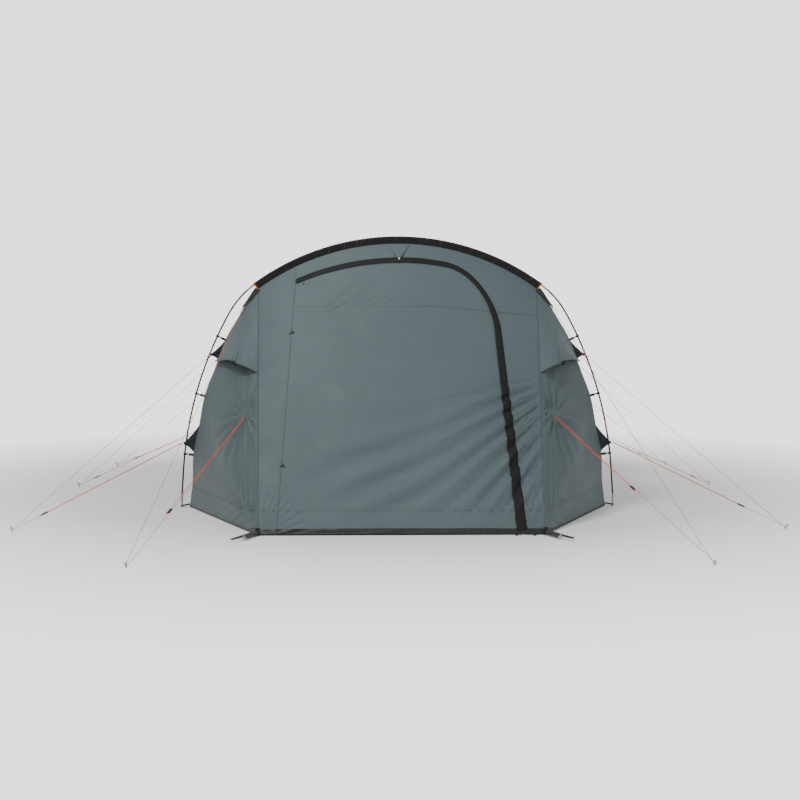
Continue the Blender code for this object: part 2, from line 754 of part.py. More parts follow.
def make_peg(name, spot, outward, finish):
    """The head of a driven steel peg: its shank leaves the ground and hooks back away from the tent."""
    points = [Vector((0, 0, 0)), Vector((0, 0, PEG_HEIGHT))]
    for k in range(1, PEG_HOOK_STEPS + 1):
        turn = math.pi * k / PEG_HOOK_STEPS
        along = outward * PEG_HOOK_RADIUS * (1 - math.cos(turn))
        points.append(along + Vector((0, 0, PEG_HEIGHT + PEG_HOOK_RADIUS * math.sin(turn))))
    points.append(points[-1] - Vector((0, 0, PEG_TIP_DROP)))
    tube(name, [spot + p for p in points], PEG_RADIUS, finish)


def make_guy(name, high, low, peg, runner_distance, finishes):
    """A V of one cord: from the upper tie down to the peg, up to the lower loop and back to the runner."""
    cord, plastic, steel = finishes
    at_peg = peg + Vector((0, 0, PEG_CORD_HEIGHT))
    up_low = (low - at_peg).normalized()
    side = up_low.cross(Vector((0, 0, 1))).normalized()
    shift = CORD_TURN_RADIUS - (PEG_RADIUS + CORD_RADIUS + PEG_CORD_GAP)
    centre = at_peg + up_low * shift
    head = (low - centre).normalized()
    start = high + (centre - side * CORD_TURN_RADIUS - high).normalized() * CORD_START_GAP
    points = [start]
    for k in range(CORD_TURN_STEPS + 1):
        turn = math.pi * (k / CORD_TURN_STEPS - 0.5)
        points.append(centre + (side * math.sin(turn) - head * math.cos(turn)) * CORD_TURN_RADIUS)
    loop = low - head * CORD_TURN_RADIUS
    for k in range(CORD_TURN_STEPS + 1):
        turn = math.pi * (k / CORD_TURN_STEPS - 0.5)
        points.append(loop + (head * math.cos(turn) - side * math.sin(turn)) * CORD_TURN_RADIUS)
    end = runner_distance - RUNNER_LENGTH / 2 - CORD_TAIL
    points.append(centre + head * end - side * CORD_TURN_RADIUS)
    tube(f"{name}_guy", points, CORD_RADIUS, cord)

    half = CORD_TURN_RADIUS + RUNNER_EDGE
    corner = RUNNER_THICKNESS / 2
    outline = []
    for way in (1, -1):
        for turn in (-90, -30, 30, 90):
            angle = math.radians(turn if way > 0 else turn + 180)
            outline.append((way * (half - corner) + corner * math.cos(angle), corner * math.sin(angle)))
    bore = CORD_RADIUS + RUNNER_CLEARANCE
    bores = []
    for way in (1, -1):
        turns = [2 * math.pi * k / 8 for k in range(8)]
        bores.append(
            [
                (way * CORD_TURN_RADIUS + bore * math.cos(t), bore * math.sin(t))
                for t in turns
            ]
        )
    frame = frame_of(centre + head * runner_distance, side, head.cross(side))
    prism(f"{name}_runner", [outline, *bores], RUNNER_LENGTH, plastic, frame)
    flat = Vector((-up_low.x, -up_low.y, 0)).normalized()
    make_peg(f"{name}_peg", peg, flat, steel)


def make_guys(arches, wall, finishes):
    order = list(arches.values())
    for name, (index, out, back, high_z, low_z, *distances) in POLE_GUYS.items():
        arch = order[index]
        for (word, side), distance in zip(SIDES.items(), distances):
            peg = Vector((side * (arch.pole[-1].x + out), arch.y + back, 0))
            clear = POLE_RADIUS + CORD_RADIUS + CORD_START_GAP
            high = at_height(arch.pole, high_z, side) - inward_at(arch, high_z, side, clear) * clear
            low = at_height(arch.pole, low_z, side) + Vector((side * WING_REACH, 0, 0))
            make_guy(f"{name}_{word}", high, low, peg, distance, finishes)
    for (word, side), distance in zip(SIDES.items(), PORCH_RUNNERS):
        corner = wall.corner(side)
        peg = Vector((corner.x + side * PORCH_PEG_OUT[word], corner.y - PORCH_PEG_AHEAD, 0))
        high = at_height(wall.arch.fly, PORCH_GUY_HIGH, side) - Vector((0, PORCH_GUY_HIGH_AHEAD, 0))
        ruling = at_height(wall.arch.fly, PORCH_GUY_RULING, side)
        low = ruling.lerp(corner, PORCH_GUY_SHARE)
        low += (peg - low).normalized() * PANEL_GUY_GAP
        make_guy(f"porch_{word}", high, low, peg, distance, finishes)
        spot = Vector((corner.x + side * CORNER_PEG_OUT, corner.y - CORNER_PEG_AHEAD, 0))
        away = Vector((side * CORNER_PEG_OUT, -CORNER_PEG_AHEAD, 0)).normalized()
        make_peg(f"front_corner_{word}_peg", spot, away, finishes[2])


def empty(name, spot):
    obj = bpy.data.objects.new(name, None)
    obj.empty_display_size = 0.1
    obj.location = spot
    bpy.context.scene.collection.objects.link(obj)
    return obj


def hang(piece, parent):
    """Parents a piece to an empty and leaves it where it is."""
    bpy.context.view_layer.update()
    place = piece.matrix_world.copy()
    piece.parent = parent
    piece.matrix_parent_inverse = parent.matrix_world.inverted()
    piece.matrix_world = place


def main():
    clear_scene()
    fly = material("fly_grey", FLY_GREY, 0.72)
    shade = material("side_panel_grey", FLY_SHADE, 0.72)
    black = material("sleeve_black", SLEEVE_BLACK, 0.85)
    pole = material("pole_black", POLE_BLACK, 0.35)
    silver = material("ferrule_silver", FERRULE_SILVER, 0.35, 1.0)
    mesh = material("vent_mesh", MESH_GREY, 0.9)
    sand = material("inner_sand", INNER_SAND, 0.8)
    ground = material("groundsheet_grey", GROUND_GREY, 0.6)
    orange = material("guy_orange", GUY_ORANGE, 0.7)
    runner = material("runner_black", POLE_BLACK, 0.45)
    steel = material("peg_steel", PEG_STEEL, 0.35, 1.0)

    rear_y = FRONT_ARCH_Y + 2 * BAY_LENGTH
    arches = {
        "front": Arch(FRONT_ARCH_Y, ARCH_WIDTH, ARCH_HEIGHT),
        "middle": Arch(FRONT_ARCH_Y + BAY_LENGTH, ARCH_WIDTH, ARCH_HEIGHT),
        "rear": Arch(rear_y, REAR_ARCH_WIDTH, REAR_ARCH_HEIGHT),
    }
    front, middle, rear = arches.values()
    front_end = EndWall(front, -PORCH_DEPTH, FRONT_BASE_WIDTH)
    rear_end = EndWall(rear, REAR_DEPTH, REAR_BASE_WIDTH)

    make_poles(arches, pole, silver)
    for name, arch in arches.items():
        make_sleeve(f"{name}_pole_sleeve", arch, black)
    make_bay("front_bay_fly", front, middle, fly)
    make_bay("rear_bay_fly", middle, rear, fly)
    sheet("rear_wall", end_grid(rear_end, END_ROWS), SHEET, fly)

    hinge = front_end.point(DOOR_HINGE_BASE_X, 1)
    door_joint = empty("door_hinge", hinge)
    make_front_wall(front_end, fly)
    hang(make_door(front_end, fly, hinge), door_joint)
    hang(make_flap(front_end, black, hinge), door_joint)
    centre = zip_arc_centre(front_end)
    zip_joint = empty("zip_arc_centre", centre)
    hang(zip_joint, door_joint)
    hang(make_slider(front_end, runner, centre), zip_joint)

    for word, side in SIDES.items():
        make_side_panel(f"front_{word}_side_panel", front_end, side, shade)
        make_vent_mesh(f"{word}_vent_mesh", front_end, side, mesh)
        make_hood(f"{word}_vent_hood", front_end, side, fly)
        for number, height in enumerate(CLIP_HEIGHTS, 1):
            make_clip(f"front_{word}_pole_clip_{number}", front, side, height, runner)

    left = [front_end.corner(-1), front.fly[0], middle.fly[0], rear.fly[0], rear_end.corner(-1)]
    right = [Vector((-p.x, p.y, p.z)) for p in reversed(left)]
    make_groundsheet(left + right, ground)
    make_inner(middle, rear, rear_end, sand)
    make_guys(arches, front_end, (orange, runner, steel))


main()
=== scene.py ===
"""Cloth, cords and fittings of a tunnel tent, made around its poles. Metres, +Z up, the door faces -Y."""

import json
import math
from bisect import bisect_right

import bmesh
import bpy
from bpy.props import FloatProperty, FloatVectorProperty, PointerProperty
from mathutils import Matrix, Vector, noise


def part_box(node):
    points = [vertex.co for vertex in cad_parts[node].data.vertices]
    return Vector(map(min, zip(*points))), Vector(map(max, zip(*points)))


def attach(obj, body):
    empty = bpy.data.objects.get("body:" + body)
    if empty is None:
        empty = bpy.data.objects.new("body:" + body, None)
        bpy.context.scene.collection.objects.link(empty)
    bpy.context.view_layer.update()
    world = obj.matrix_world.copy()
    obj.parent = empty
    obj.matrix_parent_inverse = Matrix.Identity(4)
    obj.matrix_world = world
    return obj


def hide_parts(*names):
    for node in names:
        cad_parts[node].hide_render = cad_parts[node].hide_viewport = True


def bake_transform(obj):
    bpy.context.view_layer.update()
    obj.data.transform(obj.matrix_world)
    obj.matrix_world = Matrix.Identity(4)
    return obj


bl_info = {
    "name": "Tunnel tent",
    "version": (1, 0, 0),
    "blender": (4, 5, 0),
    "location": "3D View > Sidebar > Tent",
    "description": "Makes the cloth, cords and fittings of a tunnel tent around its poles",
    "category": "Add Mesh",
}

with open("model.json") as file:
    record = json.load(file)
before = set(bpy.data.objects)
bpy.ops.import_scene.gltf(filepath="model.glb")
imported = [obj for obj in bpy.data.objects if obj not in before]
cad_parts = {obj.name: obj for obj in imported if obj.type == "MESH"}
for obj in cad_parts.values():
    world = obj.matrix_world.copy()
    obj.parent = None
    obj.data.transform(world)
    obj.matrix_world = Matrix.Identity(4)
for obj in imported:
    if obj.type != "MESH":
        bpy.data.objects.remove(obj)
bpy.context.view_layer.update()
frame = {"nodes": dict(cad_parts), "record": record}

SIDES = {"left": -1, "right": 1}
ARCHES = ("front", "middle", "rear")
UP = Vector((0, 0, 1))
TO_FRONT = Vector((0, -1, 0))

# A pole's bends from the top down one side: radius, degrees turned, stations. A straight foot follows.
TOP_BEND = (1.808, 35.8, 7)
SHOULDER_BEND = (0.667, 24.9, 4)
LEG_BEND = (2.78, 25.4, 5)
STRAIGHT_FOOT = 0.266
SLEEVE_STATION = TOP_BEND[2]

POLE_RADIUS = 0.00625
SLEEVE_RADIUS = 0.0102       # of the sleeve's cloth over a pole
SLEEVE_BORE = 0.0078
SLEEVE_DROP = 0.042          # pole's centre line to the fly, inside a sleeve
CLIP_DROP = 0.065            # pole's centre line to the fly, below the sleeve
DROP_STATIONS = 3
FLY_LIFT = 0.006
SCALLOP = 0.009              # how far the fly's edge draws in between two clips
CLIP_HEIGHTS = (1.27, 0.845, 0.397)
FERRULE_HEIGHTS = (1.637, 1.155, 0.600)

FRONT_BASE_WIDTH = 1.88
REAR_BASE_WIDTH = 1.80
SEAM = 0.0008                # gap on each side of a seam between two sheets
CORNER_SPREAD = 0.025
FLY_SAG = 0.045
SAG_FREE_HEIGHT = 0.5

DOOR_HINGE_TOP_X = -0.745
DOOR_HINGE_BASE_X = -0.82
DOOR_ZIP_TOP_X = 0.68
DOOR_ZIP_BASE_X = 0.789
DOOR_TOP_DROP = 0.15
DOOR_CORNER_WIDTH = 0.36
DOOR_CORNER_HEIGHT = 0.50
ZIP_SEAM = 0.0008
ZIP_END = 0.985              # how far down the wall the zip and its flap run
HINGE_SEAM = 0.0008
FLAP_TOP_WIDTH = 0.044
FLAP_BASE_WIDTH = 0.070
FLAP_STANDOFF = 0.010
FLAP_END_GAP = 0.006

VENT_SEAM_LENGTH = 0.69
VENT_FOOT_HEIGHT = 1.12
VENT_SEAM = 0.002
HOOD_STANDOFF = 0.010
HOOD_SIDE_INSET = 0.022
HOOD_OVERHANG = 0.05
HOOD_OPEN_ANGLE = 9.0
HOOD_FULLNESS = 0.8          # share of that opening that the hood's slack cloth takes up
HIGH_SEAM = 1.490            # heights of the seams across the front
LOW_SEAM = 0.150

INNER_SCALE = 0.935
INNER_FRONT_GAP = 0.08
INNER_REAR_GAP = 0.07

CORD_RADIUS = 0.0015
CORD_TURN_RADIUS = 0.0062
CORD_TURN_STEPS = 6
CORD_TAIL = 0.012
CORD_START_GAP = 0.003
PEG_RADIUS = 0.0035
PEG_CORD_HEIGHT = 0.014
PEG_CORD_GAP = 0.0005
RUNNER_LENGTH = 0.046
WING_REACH = 0.045
PANEL_GUY_GAP = 0.016
GUY_HEIGHTS = {"front_pole": (1.116, 0.474), "middle_pole": (1.116, 0.474), "rear_pole": (1.040, 0.430)}
PORCH_GUY_HIGH = 1.485
PORCH_GUY_HIGH_AHEAD = 0.035
PORCH_GUY_RULING = 1.41
PORCH_GUY_SHARE = 0.48

CLOTH_TAPE = 0.0012          # thickness of a doubled hem, patch or flap
CLIP_STRAP_WIDTH = 0.019
END_BAND_WIDTH = 0.011
TOGGLE_HEIGHTS = (1.30, 0.42)
HOOD_PROP_SHARE = 0.62       # how far along the hood's lip its prop stands
HEM_LIFT = 0.0045            # how far the front hem stands off the cloth
SIDE_SEAM_LIFT = 0.0035
ROOF_SEAM_SHARES = (0.16, 0.37, 0.63, 0.84)
FINE_STATIONS = 14           # rows of a side panel to a station of its pole


def lerp(a, b, share):
    return a + (b - a) * share


def ease(low, high, value):
    """0 below low, 1 above high, and a smooth rise between them."""
    share = min(max((value - low) / (high - low), 0.0), 1.0)
    return share * share * (3 - 2 * share)


def rough(x, y, z=0.0):
    """Smooth noise from -1 to 1, the same each run."""
    return noise.noise(Vector((x, y, z)))


def ripple(value, period, wander=0.0):
    """A sine wave of a value, with its crests moved by wander radians."""
    return math.sin(2 * math.pi * value / period + wander)


def middle_of(node):
    low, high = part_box(node)
    return (low + high) / 2


# ---------------------------------------------------------------- settings


class TentColours(bpy.types.PropertyGroup):
    """Colours of the tent's cloths and fittings."""

    fly: FloatVectorProperty(
        name="Fly", description="Outer cloth of the tent", subtype="COLOR", size=3, min=0, max=1,
        default=(0.086, 0.120, 0.127))
    # The side panels are the fly's cloth; their colour is the fly's colour darkened, as painted shade for
    # panels that face away from the light.
    side: FloatVectorProperty(
        name="Side panels", description="Cloth of the two front side panels", subtype="COLOR", size=3,
        min=0, max=1, default=(0.074, 0.107, 0.112))
    shade: FloatVectorProperty(
        name="Wings", description="Dark cloth of the wings that the guys pull on", subtype="COLOR", size=3,
        min=0, max=1, default=(0.016, 0.021, 0.026))
    sleeve: FloatVectorProperty(
        name="Sleeves", description="Pole sleeves and the flap over the zip", subtype="COLOR", size=3,
        min=0, max=1, default=(0.0065, 0.0052, 0.0048))
    webbing: FloatVectorProperty(
        name="Webbing", description="Black webbing and straps", subtype="COLOR", size=3, min=0, max=1,
        default=(0.014, 0.014, 0.014))
    inner: FloatVectorProperty(
        name="Bedroom", description="Cloth of the bedroom hung inside", subtype="COLOR", size=3, min=0,
        max=1, default=(0.55, 0.52, 0.45))
    groundsheet: FloatVectorProperty(
        name="Groundsheet", description="Coated sheet on the ground", subtype="COLOR", size=3, min=0,
        max=1, default=(0.045, 0.050, 0.052))
    guy: FloatVectorProperty(
        name="Guys", description="Braided guy line", subtype="COLOR", size=3, min=0, max=1,
        default=(0.85, 0.105, 0.002))
    floor: FloatVectorProperty(
        name="Floor", description="Studio floor", subtype="COLOR", size=3, min=0, max=1,
        default=(0.90, 0.90, 0.90))


class TentSizes(bpy.types.PropertyGroup):
    """Sizes of the cloth's surface detail."""

    cloth: FloatProperty(
        name="Cloth", description="Thickness of the fly's cloth as modelled", default=0.0008, min=0.0002,
        max=0.003, unit="LENGTH")
    thread: FloatProperty(
        name="Thread", description="Spacing of the fly's threads", default=0.0011, min=0.0003, max=0.01,
        unit="LENGTH")
    fold_depth: FloatProperty(
        name="Folds", description="Depth of the large folds in the door", default=0.019, min=0, max=0.05,
        unit="LENGTH")
    pucker_depth: FloatProperty(
        name="Puckers", description="Depth of the small puckers along seams", default=0.0040, min=0,
        max=0.01, unit="LENGTH")
    seam_width: FloatProperty(
        name="Seams", description="Width of a flat seam", default=0.012, min=0.004, max=0.03,
        unit="LENGTH")
    stitch: FloatProperty(
        name="Stitch", description="Length of one stitch with its gap", default=0.0045, min=0.001,
        max=0.02, unit="LENGTH")
    webbing: FloatProperty(
        name="Webbing", description="Width of the webbing", default=0.015, min=0.005, max=0.05,
        unit="LENGTH")
    hem: FloatProperty(
        name="Hem", description="Height of the black hem along the front", default=0.040, min=0.01,
        max=0.1, unit="LENGTH")


def colours():
    return bpy.context.scene.tent_colours


def sizes():
    return bpy.context.scene.tent_sizes


# ---------------------------------------------------------------- materials


def once(make):
    """Makes a material the first time that its name comes up, and finds it after that."""
    def find(name, *settings, **named):
        return bpy.data.materials.get(name) or make(name, *settings, **named)
    return find


def new_finish(name, colour, roughness, metallic=0.0, sheen=0.0):
    """A new material and its Principled shader."""
    made = bpy.data.materials.new(name)
    made.use_nodes = True
    shader = made.node_tree.nodes["Principled BSDF"]
    shader.inputs["Base Color"].default_value = (*colour, 1.0)
    shader.inputs["Roughness"].default_value = roughness
    shader.inputs["Metallic"].default_value = metallic
    shader.inputs["Sheen Weight"].default_value = sheen
    shader.inputs["Sheen Roughness"].default_value = 0.45
    return made, shader


def node(finish, kind, inputs=None, **settings):
    """Adds a node. An input takes a value, or another node's output."""
    made = finish.node_tree.nodes.new(kind)
    for key, value in settings.items():
        setattr(made, key, value)
    for key, value in (inputs or {}).items():
        if isinstance(value, bpy.types.NodeSocket):
            finish.node_tree.links.new(value, made.inputs[key])
        else:
            made.inputs[key].default_value = value
    return made


def reckon(finish, operation, a, b=0.0, clamp=False):
    """One step of arithmetic between outputs or numbers."""
    return node(finish, "ShaderNodeMath", {0: a, 1: b}, operation=operation, use_clamp=clamp).outputs[0]


def join(finish, source, socket):
    finish.node_tree.links.new(source, socket)


def place_of(finish, output="Object"):
    return node(finish, "ShaderNodeTexCoord").outputs[output]


def cloud(finish, vector, scale, detail=3.0, roughness=0.5):
    inputs = {"Vector": vector, "Scale": scale, "Detail": detail, "Roughness": roughness}
    return node(finish, "ShaderNodeTexNoise", inputs).outputs["Fac"]


def between(finish, factor, dark, light):
    """A colour between two, by a factor."""
    made = node(finish, "ShaderNodeMix", {"Factor": factor}, data_type="RGBA")
    made.inputs[6].default_value = (*dark, 1.0)
    made.inputs[7].default_value = (*light, 1.0)
    return made.outputs[2]


def toned(colour, share):
    return tuple(min(c * share, 1.0) for c in colour)


def ramp(finish, value, low, high):
    """Stretches a value so that low gives 0 and high gives 1."""
    inputs = {"Value": value, "From Min": low, "From Max": high}
    return node(finish, "ShaderNodeMapRange", inputs).outputs["Result"]


def bump(finish, height, strength, distance, below=None):
    inputs = {"Height": height, "Strength": strength, "Distance": distance}
    if below is not None:
        inputs["Normal"] = below
    return node(finish, "ShaderNodeBump", inputs).outputs["Normal"]


def tint(finish, shader, factor, dark, light):
    """Drives the base colour between two, by a factor."""
    join(finish, between(finish, factor, dark, light), shader.inputs["Base Color"])


def emboss(finish, shader, height, strength, distance, below=None):
    """Drives the shader's normal by a relief, over the relief below it."""
    join(finish, bump(finish, height, strength, distance, below), shader.inputs["Normal"])


def spread_roughness(finish, shader, value, low, high):
    inputs = {"Value": value, "To Min": low, "To Max": high}
    join(finish, node(finish, "ShaderNodeMapRange", inputs).outputs["Result"], shader.inputs["Roughness"])


def cloth_axes(finish):
    """Across and along the flat cloth, in metres."""
    axes = node(finish, "ShaderNodeSeparateXYZ", {"Vector": place_of(finish, "UV")}).outputs
    return axes["X"], axes["Y"]


def times(finish, a, b):
    return reckon(finish, "MULTIPLY", a, b)


def ribbing(finish, value, pitch):
    return reckon(finish, "SINE", times(finish, value, 2 * math.pi / pitch))


def weave_height(finish, thread):
    """Over and under of a plain weave, on the flat cloth's own coordinates."""
    across, along = cloth_axes(finish)
    return times(finish, ribbing(finish, across, thread), ribbing(finish, along, thread))


@once
def cloth_finish(name, colour, roughness=0.62, sheen=0.12, crumple=0.35, thread=None, contrast=0.06):
    """Plain-woven coated cloth: mottled dye, patchy roughness, thread relief and soft crumples."""
    made, shader = new_finish(name, colour, roughness, sheen=sheen)
    shader.inputs["Specular IOR Level"].default_value = 0.35
    place = place_of(made)
    mottle = cloud(made, place, 1.7, 4.0, 0.6)
    fleck = cloud(made, place, 130.0, 2.0)
    both = reckon(made, "ADD", times(made, mottle, 0.7), times(made, fleck, 0.3))
    dyed = ramp(made, both, 0.32, 0.68)
    tint(made, shader, dyed, toned(colour, 1 - contrast), toned(colour, 1 + contrast))
    sheen_patches = ramp(made, cloud(made, place, 6.0, 3.0), 0.25, 0.75)
    spread_roughness(made, shader, sheen_patches, roughness - 0.05, roughness + 0.06)
    soft = bump(made, cloud(made, place, 11.0, 5.0, 0.55), crumple, 0.006)
    fine = bump(made, cloud(made, place, 75.0, 3.0, 0.6), crumple * 0.6, 0.0009, soft)
    emboss(made, shader, weave_height(made, thread or sizes().thread), 0.35, 0.00012, fine)
    return made


@once
def stitched_finish(name, colour, half_width, edge=0.002, thread_colour=(0.05, 0.06, 0.065)):
    """A felled seam or tape: cloth with a row of stitches along each edge."""
    made, shader = new_finish(name, colour, 0.6, sheen=0.1)
    across, along = cloth_axes(made)
    from_middle = reckon(made, "ABSOLUTE", across)
    from_row = reckon(made, "ABSOLUTE", reckon(made, "SUBTRACT", from_middle, half_width - edge))
    on_row = reckon(made, "LESS_THAN", from_row, 0.0006)
    step = reckon(made, "FRACT", reckon(made, "DIVIDE", along, sizes().stitch))
    stitch = times(made, on_row, reckon(made, "LESS_THAN", step, 0.65))
    mottle = cloud(made, place_of(made), 40.0, 3.0)
    ground = between(made, ramp(made, mottle, 0.3, 0.7), toned(colour, 0.9), toned(colour, 1.06))
    mixed = node(made, "ShaderNodeMix", {"Factor": stitch, 6: ground}, data_type="RGBA")
    mixed.inputs[7].default_value = (*thread_colour, 1.0)
    join(made, mixed.outputs[2], shader.inputs["Base Color"])
    pinched = reckon(made, "SUBTRACT", times(made, stitch, 0.6), ramp(made, from_row, 0.0025, 0.0))
    soft = bump(made, cloud(made, place_of(made), 60.0, 3.0), 0.4, 0.0015)
    emboss(made, shader, pinched, 0.5, 0.0006, soft)
    return made


@once
def webbing_finish(name, colour, rib=0.0016):
    """Ribbed webbing with a tight edge and a little grey dust."""
    made, shader = new_finish(name, colour, 0.8, sheen=0.2)
    across, along = cloth_axes(made)
    ribs = reckon(made, "ADD", ribbing(made, along, rib), times(made, ribbing(made, across, 2 * rib), 0.5))
    dust = ramp(made, cloud(made, place_of(made), 55.0, 4.0), 0.45, 0.8)
    tint(made, shader, dust, toned(colour, 0.8), toned(colour, 2.2))
    emboss(made, shader, ribs, 0.5, 0.0003)
    return made


@once
def moulded_finish(name, colour, roughness):
    """Moulded plastic with a fine spark-eroded grain and polished wear."""
    made, shader = new_finish(name, colour, roughness)
    place = place_of(made)
    wear = ramp(made, cloud(made, place, 90.0, 4.0), 0.4, 0.75)
    tint(made, shader, wear, toned(colour, 0.85), toned(colour, 1.9))
    spread_roughness(made, shader, wear, roughness, roughness + 0.2)
    emboss(made, shader, cloud(made, place, 1400.0, 2.0), 0.25, 0.0002)
    return made


@once
def metal_finish(name, colour, roughness, grain=(400.0, 400.0, 18.0)):
    """Drawn metal with long scratches and a dulled surface."""
    made, shader = new_finish(name, colour, roughness, metallic=1.0)
    stretched = node(made, "ShaderNodeVectorMath", {0: place_of(made), 1: grain}, operation="MULTIPLY")
    lines = cloud(made, stretched.outputs[0], 1.0, 3.0)
    dull = cloud(made, place_of(made), 35.0, 4.0)
    tint(made, shader, ramp(made, dull, 0.35, 0.75), toned(colour, 0.75), toned(colour, 1.1))
    spread_roughness(made, shader, lines, roughness, roughness + 0.2)
    emboss(made, shader, lines, 0.2, 0.0002)
    return made


@once
def pole_finish(name):
    """Pultruded black glass fibre: long fibres under a smooth skin, worn grey in places."""
    made, shader = new_finish(name, (0.012, 0.012, 0.013), 0.33)
    shader.inputs["Coat Weight"].default_value = 0.25
    shader.inputs["Coat Roughness"].default_value = 0.2
    around, along = cloth_axes(made)
    stretched = {"X": times(made, around, 900.0), "Y": times(made, along, 9.0)}
    fibres = node(made, "ShaderNodeCombineXYZ", stretched)
    threads = cloud(made, fibres.outputs["Vector"], 1.0, 2.0)
    wear_and_painted_gloss = ramp(made, cloud(made, place_of(made), 14.0, 5.0), 0.55, 0.8)
    tint(made, shader, wear_and_painted_gloss, (0.010, 0.010, 0.011), (0.045, 0.046, 0.048))
    spread_roughness(made, shader, threads, 0.26, 0.46)
    emboss(made, shader, threads, 0.15, 0.0002)
    return made


@once
def cord_finish(name):
    """A tight braid, with painted highlights on the crowns of its strands and painted shade in the grooves
    between them.
    """
    colour = colours().guy
    made, shader = new_finish(name, colour, 0.75)
    cells = node(made, "ShaderNodeTexVoronoi", {"Vector": place_of(made), "Scale": 850.0})
    # Painted light: the strands' crowns are lightened and the grooves between them darkened; the same pattern
    # gives the braid's relief.
    crown = ramp(made, cells.outputs["Distance"], 0.0, 0.7)
    tint(made, shader, crown, toned(colour, 1.12), toned(colour, 0.7))
    emboss(made, shader, crown, -0.4, 0.0004)
    return made


@once
def net_finish(name, pitch=0.0018):
    """Fine black netting with open holes."""
    made, shader = new_finish(name, (0.02, 0.023, 0.025), 0.75, sheen=0.1)
    strands = []
    for axis in cloth_axes(made):
        share = reckon(made, "FRACT", reckon(made, "DIVIDE", axis, pitch))
        strands.append(reckon(made, "LESS_THAN", share, 0.42))
    solid = reckon(made, "MAXIMUM", *strands)
    join(made, reckon(made, "MAXIMUM", solid, 0.25), shader.inputs["Alpha"])
    fuzz = cloud(made, place_of(made), 300.0, 2.0)
    tint(made, shader, fuzz, (0.012, 0.014, 0.015), (0.035, 0.04, 0.043))
    emboss(made, shader, solid, 0.4, 0.0003)
    return made


@once
def groundsheet_finish(name):
    """Laminated groundsheet: a fine tarpaulin weave under a dull coat, with scuffs."""
    colour = colours().groundsheet
    made, shader = new_finish(name, colour, 0.5)
    place = place_of(made)
    scuff = ramp(made, cloud(made, place, 9.0, 6.0, 0.65), 0.5, 0.8)
    tint(made, shader, scuff, colour, toned(colour, 1.7))
    creased = bump(made, cloud(made, place, 7.0, 4.0), 0.5, 0.004)
    emboss(made, shader, weave_height(made, 0.0025), 0.4, 0.0003, creased)
    return made


@once
def sleeve_cloth(name):
    """The black cloth of the sleeves, with painted gloss highlights: paler streaks along slanting creases."""
    colour = colours().sleeve
    made = cloth_finish(name, colour, 0.42, 0.02, 1.0, 0.0016, 0.25)
    across, along = cloth_axes(made)
    slanted = reckon(made, "ADD", times(made, across, 0.55), along)
    stretched = {"X": times(made, slanted, 42.0), "Y": times(made, across, 9.0)}
    creases = node(made, "ShaderNodeCombineXYZ", stretched)
    # Painted gloss highlights: the cloth is lightened in streaks along slanting creases, where it would catch
    # the light.
    wear_and_painted_gloss = ramp(made, cloud(made, creases.outputs["Vector"], 1.0, 3.0, 0.55), 0.56, 0.74)
    tint(made, made.node_tree.nodes["Principled BSDF"], wear_and_painted_gloss, toned(colour, 0.9), toned(colour, 5.5))
    return made


def fly_cloth():
    return cloth_finish("fly_polyester", colours().fly)


# The side panels' cloth in the darker side colour: painted shade.
def shaded_side_cloth():
    return cloth_finish("side_polyester", colours().side)


def wing_cloth():
    return cloth_finish("wing_polyester", colours().shade, 0.7)


def flap_cloth():
    return cloth_finish("flap_polyester", colours().sleeve, 0.7, 0.02, 1.0, 0.0016, 0.25)


def seam_cloth():
    return stitched_finish("felled_seam", toned(colours().fly, 0.88), sizes().seam_width / 2)


def black_webbing():
    return webbing_finish("black_webbing", colours().webbing)


def orange_webbing():
    return webbing_finish("orange_webbing", toned(colours().guy, 0.9))


def black_plastic():
    return moulded_finish("moulded_black", (0.013, 0.013, 0.014), 0.42)


def pale_plastic():
    return moulded_finish("moulded_pale", (0.62, 0.63, 0.60), 0.4)


# ---------------------------------------------------------------- meshes


def link(name, data, finish):
    data.materials.append(finish)
    piece = bpy.data.objects.new(name, data)
    bpy.context.scene.collection.objects.link(piece)
    return piece


def place_piece(piece, body, slot, *nodes):
    """The piece rides on a body and stands for the nodes given. slot is not used."""
    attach(piece, body)
    if nodes:
        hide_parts(*nodes)
    return piece


def grid_normals(grid):
    """Unit normals of a grid of points, from the neighbours of each."""
    rows, columns = len(grid), len(grid[0])
    normals = []
    for i in range(rows):
        before, after = grid[max(i - 1, 0)], grid[min(i + 1, rows - 1)]
        line = []
        for j in range(columns):
            across = grid[i][min(j + 1, columns - 1)] - grid[i][max(j - 1, 0)]
            line.append((after[j] - before[j]).cross(across).normalized())
        normals.append(line)
    return normals


def facing(grid, normals, outside):
    """1 where the grid's normals point to a point outside the tent, or -1."""
    i, j = len(grid) // 2, len(grid[0]) // 2
    return 1 if normals[i][j].dot(outside - grid[i][j]) > 0 else -1


def moved_out(grid, depth, outside):
    """The grid with each point moved along its normal by depth(point, row, column)."""
    normals = grid_normals(grid)
    sign = facing(grid, normals, outside)
    return [
        [p + n * sign * depth(p, i, j) for j, (p, n) in enumerate(zip(points, ways))]
        for i, (points, ways) in enumerate(zip(grid, normals))
    ]


def each(value, count):
    """One value for each of a count: a list as it is, or a number that many times."""
    return value if hasattr(value, "__len__") else [value] * count


def ring_faces(rings, count, first=0):
    """The faces that join rings of points, each ring to the next."""
    faces = []
    for k in range(rings - 1):
        for n in range(count):
            a, b = first + k * count + n, first + k * count + (n + 1) % count
            faces.append((a, b, b + count, a + count))
    return faces


def tube_faces(rings, count):
    """The faces of a tube of rings, closed at both ends."""
    last = (rings - 1) * count
    return ring_faces(rings, count) + [tuple(range(count))[::-1], tuple(range(last, last + count))]


